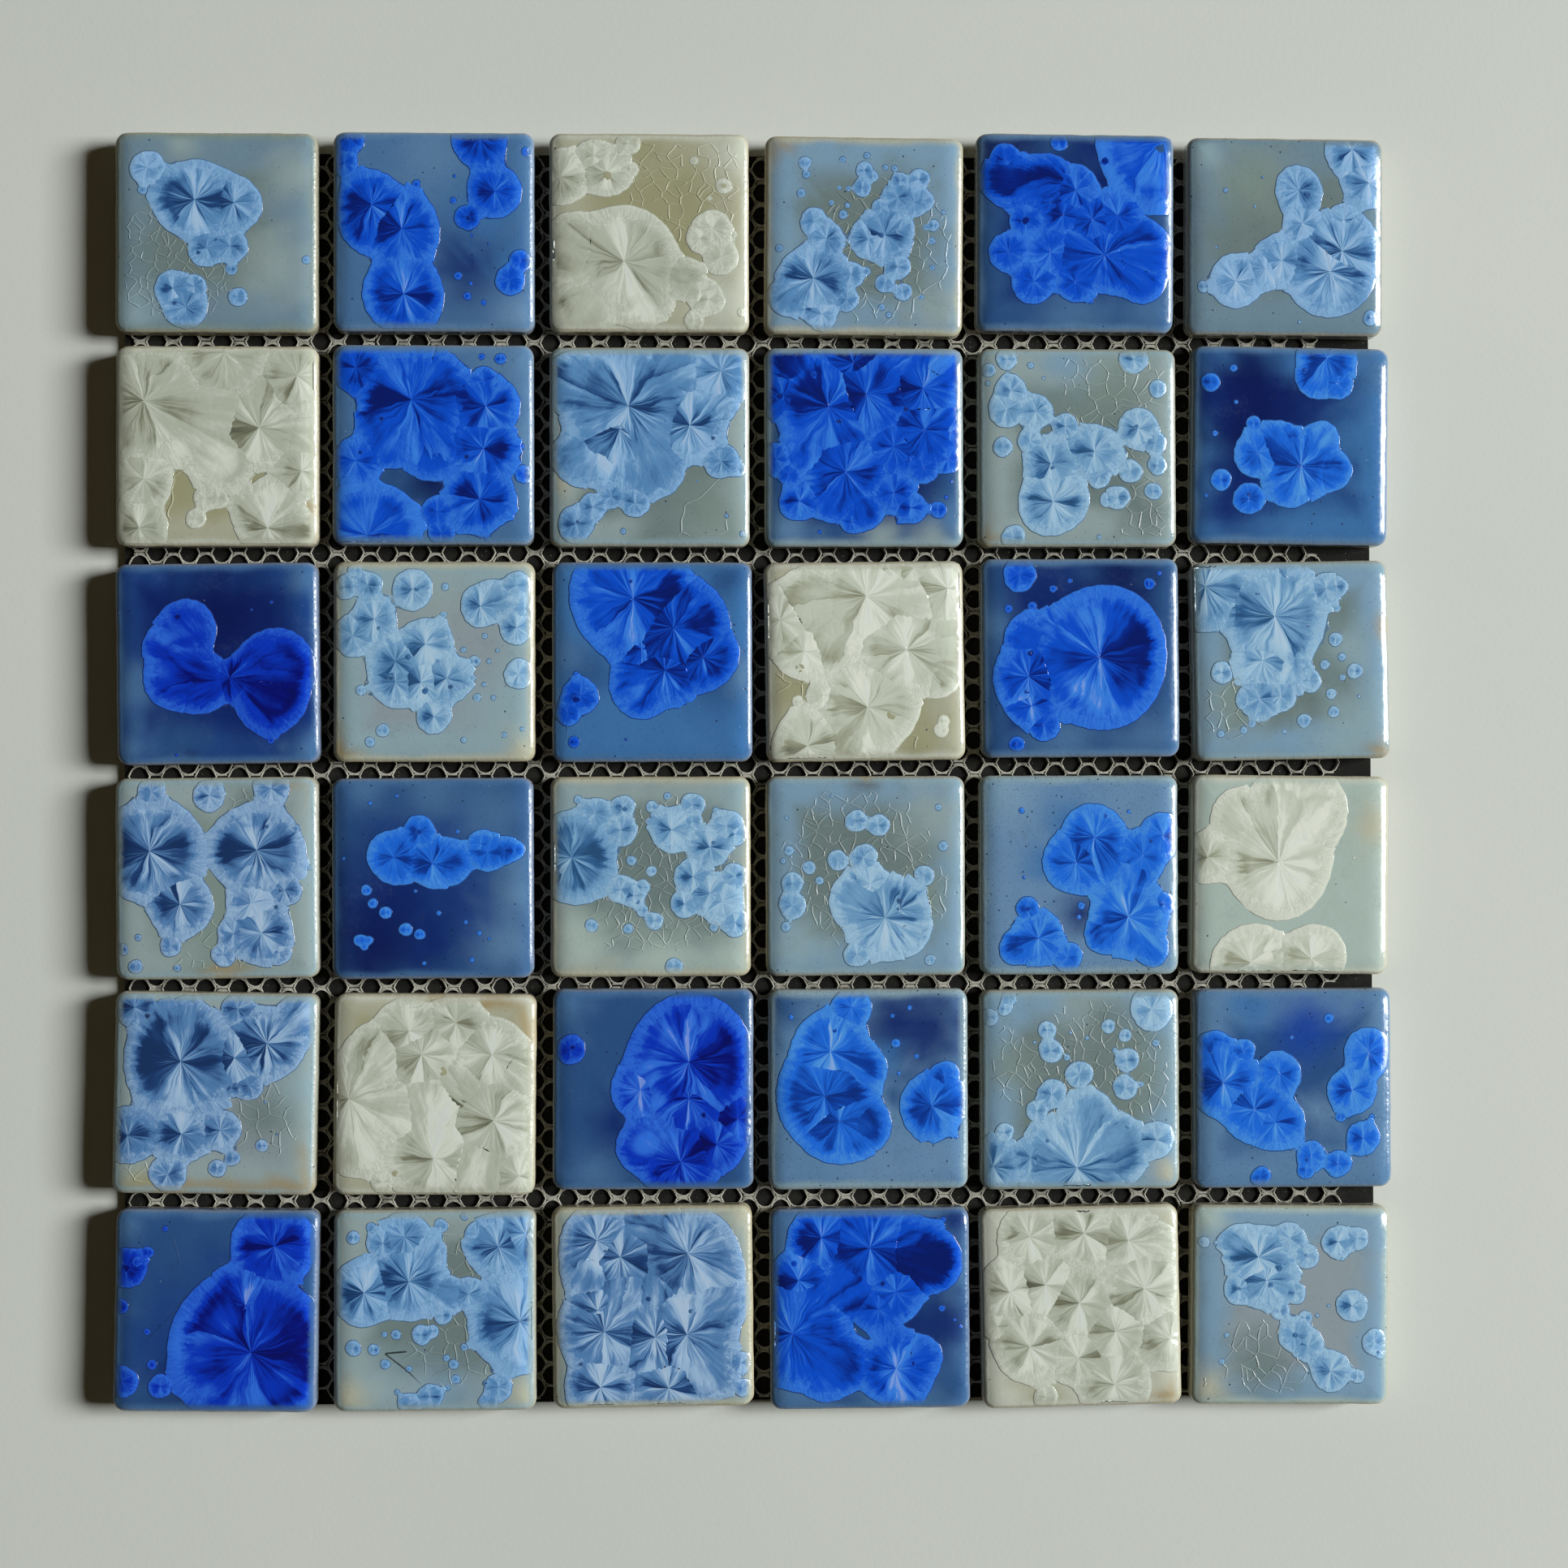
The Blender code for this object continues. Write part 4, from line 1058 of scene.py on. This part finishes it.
# Pools of clear glass, where the glaze cracked as it cooled.
GLASSY = ("grey", "sage", "khaki")
CRACK_GAP = 3.3         # between cracks where the crackle is 1


def crackle(heap, discs, amount, pools, seed, surface):
    """Cracks that healed in the fire: a wavy net of ridges in the glassy pools."""
    dice = np.random.default_rng(seed + 31)
    gap = CRACK_GAP / math.sqrt(amount)
    ticks = np.arange(-HALF - gap, HALF + gap, gap)
    seeds = np.stack(np.meshgrid(ticks, ticks), axis=-1).reshape(-1, 2)
    seeds = seeds + dice.normal(size=seeds.shape) * gap * 0.5
    spots, _, triangles = delaunay_2d_cdt([Vector(spot) for spot in seeds], [], [], 0, 1e-5)[:3]
    sides = {}
    for triangle in triangles:
        a, b, c = (np.array(spots[corner]) for corner in triangle)
        middle = np.linalg.solve(2 * np.array([b - a, c - a]), [b @ b - a @ a, c @ c - a @ a])
        for k in range(3):
            sides.setdefault(frozenset((triangle[k], triangle[k - 1])), []).append(middle)
    discs = np.array(discs)
    glassy = np.array([pool[:3] for pool in listed(pools) if pool[3] in GLASSY], float)
    for ends in sides.values():
        if len(ends) < 2 or np.linalg.norm(ends[1] - ends[0]) > 3 * gap or dice.uniform() < 0.12:
            continue
        way = np.linspace(0, 1, int(np.linalg.norm(ends[1] - ends[0]) / 0.55) + 3)[:, None]
        line = ends[0] + (ends[1] - ends[0]) * way
        line = line + 0.45 * np.column_stack([ripple(line, 6.5, seed + k) for k in (41, 42)])
        clear = (np.linalg.norm(line[:, None] - discs[:, :2], axis=2) - discs[:, 2]).min(axis=1)
        within = 1.15 * glassy[:, 2] - np.linalg.norm(line[:, None] - glassy[:, :2], axis=2)
        border = within.max(axis=1) + 2.0 * ripple(line, 9.0, seed + 43)
        kept = (clear > -0.2) & (border > 0) & (np.abs(line).max(axis=1) < HALF - 2.5)
        if not kept[0]:
            line, kept = line[::-1], kept[::-1]
        line = line[:len(line) if kept.all() else int(np.argmin(kept))]
        if len(line) > 2:
            add_vein(heap, line, dice.uniform(0.46, 0.74), dice.uniform(0.07, 0.12), surface,
                     tail=0.6)


class Crystal:
    """A round of growth in the glaze: its middle, its size, its mark, and its nucleus.

    Its nucleus is its middle, unless the recipe gives another one: rounds with the same
    nucleus are the lobes of one crystal.
    """

    def __init__(self, x, y, size, *nucleus):
        limit = HALF - INNER_VERGE
        self.mark = size[-1] if size[-1].isalpha() else ""
        self.size = float(size.rstrip("bdklmq"))
        self.middle = np.clip((float(x), float(y)), -limit, limit)
        self.nucleus = np.array([float(v) for v in nucleus]) if nucleus else self.middle
        self.spread = self.size

    def gap(self, other):
        return float(np.linalg.norm(self.middle - other.middle))

    def disc(self):
        return (*self.middle, self.size)


def settle(crystals):
    """Lets a crystal that began inside another's growth push through to its edge.

    Small ones, pits and holes lie on top instead: gives back what grew and what lies on it.
    """
    grown, riders = [], []
    for one in crystals:
        if one.mark in ("q", "k"):
            riders.append(one)
            continue
        for other in crystals:
            gap = one.gap(other)
            if other.mark in ("q", "k") or one.size >= other.size or (
                    gap + one.size > other.size * 1.02):
                continue
            if one.size < 1.6:
                riders.append(one)
                break
            one.size = max(one.size, other.size - gap + 1.4)
        else:
            grown.append(one)
    for one in grown:
        for other in grown:
            if not one.mark and other.mark and one.nucleus is one.middle and (
                    4.4 < one.size < other.size and one.gap(other) < 1.15 * other.size):
                one.nucleus, one.mark = other.nucleus, other.mark
    for one in grown:
        one.spread = max(other.size + float(np.linalg.norm(other.middle - one.nucleus)) * 0.6
                         for other in grown if np.allclose(other.nucleus, one.nucleus))
    return grown, riders


def paint_glaze(recipe, points, ridges, seed):
    """The glaze's colour at each point, and how stained and speckled it is there."""
    shades, zones, reach, _, specks, pools, _ = recipe
    middle, ring, verge = (np.array(seen(*GLAZES[name])) for name in zones.split())
    inset = inset_of(points)
    wander = 1.1 * ripple(points, 15.0, seed + 11) + 0.4 * ripple(points, 6.0, seed + 12)
    outward = HALF - inset + wander
    rim = ease(outward, reach - 3.5, reach + 2.5)[:, None]
    edge = ease(inset + 0.25 * wander, 2.6, 0.7)[:, None]
    colour = middle * (1 - rim) + ring * rim
    stain = np.zeros(len(points))
    for x, y, size, name in listed(pools):
        away = points - np.array([float(x), float(y)])
        near = np.exp(-1.1 * ((away ** 2).sum(axis=1) / float(size) ** 2)
                      * (1 + 0.35 * ripple(points, 8.0, seed + 13)))
        if name in ("ochre", "brown"):
            near = near * ease(inset + 0.8 * wander, 5.5, 0.8)
            stain = np.maximum(stain, near)
        near = (near * 0.92)[:, None]
        colour = colour * (1 - near) + np.array(seen(*GLAZES[name])) * near
    colour = colour * (1 - edge * 0.8) + verge * edge * 0.8
    bare = 0.28 if shades in ("deep", "royal", "soft") else 0.62
    brink = ease(inset + 0.06 * wander, 0.95, 0.35)[:, None] * bare
    colour = colour * (1 - brink) + np.array(seen(*GLAZES["clay"])) * brink
    wear = np.column_stack([stain, ridges, np.full(len(points), specks)])
    return np.column_stack([colour, np.ones(len(points))]), wear


def veil(points, text):
    """How much paler the crystals are at each point for the patches that the text gives."""
    shift = np.zeros(len(points))
    for x, y, size, tone in np.array(listed(text), float):
        away = ((points - np.array([x, y])) ** 2).sum(axis=1)
        shift += tone * np.exp(-away / size ** 2)
    return shift


def grow_crystals(heap, text, seed, surface):
    """A tile's crystals, each with the ones that it grew into; gives back their discs."""
    members, riders = settle([Crystal(*words) for words in listed(text)])
    for number, one in enumerate(members):
        others = [other.disc() for other in members
                  if other is not one and one.gap(other) < other.size + one.size + 1]
        add_crystal(heap, one, others, seed * 50 + number, surface)
    for number, one in enumerate(riders):
        add_crystal(heap, one, [], seed * 50 + 1000 + number, surface,
                    0.022 if one.size > 1.5 else 0.045)
    return [one.disc() for one in members]


def add_hair(heap, text, dark, surface):
    """A thread or a hair that was fired in, through the bends that the text gives."""
    bends = np.array(listed(text), float)
    way = np.linspace(0, len(bends) - 1, 12 * len(bends))
    line = np.column_stack([np.interp(way, range(len(bends)), bends[:, k]) for k in (0, 1)])
    add_vein(heap, line, 0.30 + 0.22 * dark, 0.05 + 0.05 * dark, surface, -dark)


def make_tile(row, column):
    """One glazed tile in the place of its solid, from its recipe."""
    name = f"tile_r{row}_c{column}"
    recipe = TILES[(row, column)]
    shades, _, _, cracked, _, pools, crystals = recipe
    family = FAMILIES[LAYOUT[row - 1][column - 1]]
    low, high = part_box(name)
    thickness = (high.z - low.z) / MM
    seed = row * 100 + column * 7
    surface = partial(glaze_height, seed=seed, thickness=thickness)
    heap = Heap()
    add_body(heap, seed, surface)
    discs = grow_crystals(heap, crystals, seed, surface)
    if cracked:
        crackle(heap, discs, cracked, pools, seed, surface)
    for text, dark in HAIRS.get((row, column), ()):
        add_hair(heap, text, dark, surface)
    points = np.concatenate(heap.points)
    habit = np.concatenate(heap.traits["habit"])
    habit[:, 0] += veil(points[:, :2], VEILS[(row, column)])
    ridges = np.concatenate(heap.traits["grain"])[:, 0]
    glaze, wear = paint_glaze(recipe, points[:, :2], ridges, seed)
    extra = {"glaze": glaze, "wear": wear, "habit": habit,
             "verge": inset_of(points[:, :2])[:, None],
             "dull": np.full((len(points), 1), DULLNESS[column - 1])}
    for title, shade in zip(("deep", "body", "pale"), SHADES[shades]):
        extra[title] = np.tile([*seen(*shade), 1.0], (len(points), 1))
    points[:, 2] = np.minimum(points[:, 2], thickness - 0.002)
    centre = (low + high) / 2
    placed = points.copy()
    placed[:, :2] = rotated(points[:, :2], math.radians(TURNS.get((row, column), 0.0)))
    placed = placed * MM + np.array([centre.x, centre.y, low.z])
    mesh = heap.mesh(name + " glazed", placed, extra)
    for finish in (family["glaze"], family["crystal"], BISCUIT_FINISH):
        mesh.materials.append(finish)
    piece = bpy.data.objects.new(name + "_glazed", mesh)
    bpy.context.collection.objects.link(piece)
    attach(piece, "root")
    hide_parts(name)


for row in range(1, 7):
    for column in range(1, 7):
        make_tile(row, column)

# The middle of the grid that the tiles were laid to, from a tile that lies true on it.
true_low, true_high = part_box("tile_r2_c3")
GRID = (true_low + true_high) / 2 + Vector((0.5, -1.5, 0)) * PITCH * MM
GRID.z = 0.0

# ---------------------------------------------------------------- the net

NET_LOW, NET_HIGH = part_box("net")
COLUMN, ROW = 3.9, 5.6          # from one hole to the next: across, and up the same column
HEM_X, HEM_Y = 2.9, 2.6         # from the net's edge to the middle of a hole: across, and up
JOINT = 3.6                     # how far from the middle of a joint the net is worth making
OUTER_JOINT = 2.86              # further out than this many pitches, the sheet's edge shows
YARN = 0.235                    # the yarn's radius


def hole_outline():
    """One hole of the net: a six-sided loop with round corners, points left and right."""
    corners = ((2.50, 0.0), (2.10, 0.85), (1.60, 1.72), (0.85, 2.22), (0.0, 2.42))
    return list(corners) + [(-x, y) for x, y in corners[-2::-1]] + [
        (-x, -y) for x, y in corners[1:]] + [(x, -y) for x, y in corners[-2:0:-1]]


def net_cells():
    """The middles of the holes that show between the tiles and along the sheet's edges."""
    dice = np.random.default_rng(41)
    low, high = NET_LOW / MM, NET_HIGH / MM
    width = high.x - low.x
    cells = []
    for number in range(int(width / COLUMN)):
        x = low.x + HEM_X + number * COLUMN
        y = low.y + HEM_Y + (ROW / 2 if number % 2 else 0.0)
        while y < high.y - HEM_Y:
            near = []
            for place, centre in ((x, GRID.x / MM), (y, GRID.y / MM)):
                joint = (place - centre) / PITCH
                near.append(abs(joint - round(joint)) * PITCH < JOINT or abs(joint) > OUTER_JOINT)
            ragged = x > high.x - 5 and dice.uniform() < 0.35
            if any(near) and not ragged:
                cells.append((x + dice.normal() * 0.10, y + dice.normal() * 0.10))
            y += ROW
    return cells


def net_tree():
    """Geometry Nodes that knit the net: yarn round each hole, laid on the cell points."""
    tree = bpy.data.node_groups.new("knitted net", "GeometryNodeTree")
    for title, kind in (("Cells", "NodeSocketGeometry"), ("Hole", "NodeSocketObject"),
                        ("Yarn Radius", "NodeSocketFloat"), ("Yarn Sides", "NodeSocketInt"),
                        ("Yarn", "NodeSocketMaterial")):
        tree.interface.new_socket(title, in_out="INPUT", socket_type=kind)
    tree.interface.new_socket("Net", in_out="OUTPUT", socket_type="NodeSocketGeometry")

    def add(kind, **settings):
        node = tree.nodes.new(kind)
        for setting, choice in settings.items():
            setattr(node, setting, choice)
        return node

    def wire(source, output, target, name):
        tree.links.new(source.outputs[output], target.inputs[name])

    given, result = add("NodeGroupInput"), add("NodeGroupOutput")
    hole = add("GeometryNodeObjectInfo")
    wire(given, "Hole", hole, "Object")
    lay = add("GeometryNodeInstanceOnPoints")
    wire(given, "Cells", lay, "Points")
    wire(hole, "Geometry", lay, "Instance")
    real = add("GeometryNodeRealizeInstances")
    wire(lay, "Instances", real, "Geometry")
    path = add("GeometryNodeMeshToCurve")
    wire(real, "Geometry", path, "Mesh")
    strand = add("GeometryNodeCurvePrimitiveCircle", mode="RADIUS")
    wire(given, "Yarn Sides", strand, "Resolution")
    wire(given, "Yarn Radius", strand, "Radius")
    spin = add("GeometryNodeCurveToMesh")
    wire(path, "Curve", spin, "Curve")
    wire(strand, "Curve", spin, "Profile Curve")
    spin.inputs["Fill Caps"].default_value = True
    settled = add("GeometryNodeRealizeInstances")
    wire(spin, "Mesh", settled, "Geometry")
    dye = add("GeometryNodeSetMaterial")
    wire(settled, "Geometry", dye, "Geometry")
    wire(given, "Yarn", dye, "Material")
    wire(dye, "Geometry", result, "Net")
    return tree


def make_net():
    """The knitted net, as one plain mesh, with the short threads that tie its columns."""
    finish = yarn_finish()
    level = (NET_LOW.z + NET_HIGH.z) / 2
    loop = hole_outline()
    threads = [((-1.25, 2.50), (1.25, 2.50)), ((-0.9, 2.66), (0.9, 2.66)),
               ((-1.25, -2.50), (1.25, -2.50))]
    corners = list(loop)
    edges = [(k, (k + 1) % len(loop)) for k in range(len(loop))]
    for start, end in threads:
        edges.append((len(corners), len(corners) + 1))
        corners += [start, end]
    shape = bpy.data.meshes.new("net hole")
    shape.from_pydata([(x * MM, y * MM, 0.0) for x, y in corners], edges, [])
    hole = bpy.data.objects.new("net hole", shape)
    cells = bpy.data.meshes.new("net cells")
    cells.from_pydata([(x * MM, y * MM, level) for x, y in net_cells()], [], [])
    ground = bpy.data.objects.new("net cells", cells)
    for item in (hole, ground):
        bpy.context.collection.objects.link(item)
    knit = ground.modifiers.new("knit", "NODES")
    knit.node_group = net_tree()
    given = {"Hole": hole, "Yarn Radius": YARN * MM, "Yarn Sides": 4, "Yarn": finish}
    for item in knit.node_group.interface.items_tree:
        if item.in_out == "INPUT" and item.name in given:
            knit[item.identifier] = given[item.name]
    ground.update_tag()
    bpy.context.view_layer.update()
    drawn = ground.evaluated_get(bpy.context.evaluated_depsgraph_get())
    mesh = bpy.data.meshes.new_from_object(drawn)
    mesh.name = "knitted net"
    for item in (ground, hole):
        bpy.data.objects.remove(item, do_unlink=True)
    mesh.shade_smooth()
    piece = bpy.data.objects.new("knitted_net", mesh)
    bpy.context.collection.objects.link(piece)
    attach(piece, "root")
    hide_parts("net")


make_net()
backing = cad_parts["backing_sheet"]
backing.material_slots[0].material = rubber_finish()

# ---------------------------------------------------------------- table, light and camera


def lay_table():
    """A pale painted table top, a hair under the sheet."""
    mesh = bpy.data.meshes.new("table")
    reach, drop = 1.6, -0.0002
    mesh.from_pydata([(-reach, -reach, drop), (reach, -reach, drop), (reach, reach, drop),
                      (-reach, reach, drop)], [], [(0, 1, 2, 3)])
    mesh.materials.append(table_finish())
    table = bpy.data.objects.new("table", mesh)
    bpy.context.collection.objects.link(table)


def hang_window():
    """One large soft light, low to the right, like a window."""
    lamp = bpy.data.lights.new("window", "AREA")
    lamp.shape = "RECTANGLE"
    lamp.size, lamp.size_y = 2.6, 2.92
    lamp.energy = 870.0
    lamp.color = (1.0, 1.0, 0.985)
    light = bpy.data.objects.new("window", lamp)
    rise, turn, away = math.radians(31.5), math.radians(6.0), 8.0
    way = Vector((math.cos(rise) * math.cos(turn), math.cos(rise) * math.sin(turn),
                  math.sin(rise)))
    light.location = GRID + way * away
    light.rotation_euler = (-way).to_track_quat("-Z", "Y").to_euler()
    bpy.context.collection.objects.link(light)
    room = bpy.data.worlds.new("room")
    room.use_nodes = True
    room.node_tree.nodes["Background"].inputs["Color"].default_value = (0.030, 0.022, 0.011, 1.0)
    room.node_tree.nodes["Background"].inputs["Strength"].default_value = 1.0
    bpy.context.scene.world = room


def set_camera():
    """Straight above the sheet, a little to one side."""
    lens = bpy.data.cameras.new("camera")
    lens.lens, lens.sensor_width = 58.14, 36.0
    lens.clip_start, lens.clip_end = 0.01, 20.0
    camera = bpy.data.objects.new("camera", lens)
    camera.location = GRID + Vector((-14.5, -12.3, 608.3)) * MM
    camera.rotation_euler = Euler([math.radians(angle) for angle in (0.83, -1.97, -0.17)], "XYZ")
    bpy.context.collection.objects.link(camera)
    bpy.context.scene.camera = camera


lay_table()
hang_window()
set_camera()
bpy.context.scene.view_settings.view_transform = "Standard"

bpy.context.view_layer.update()
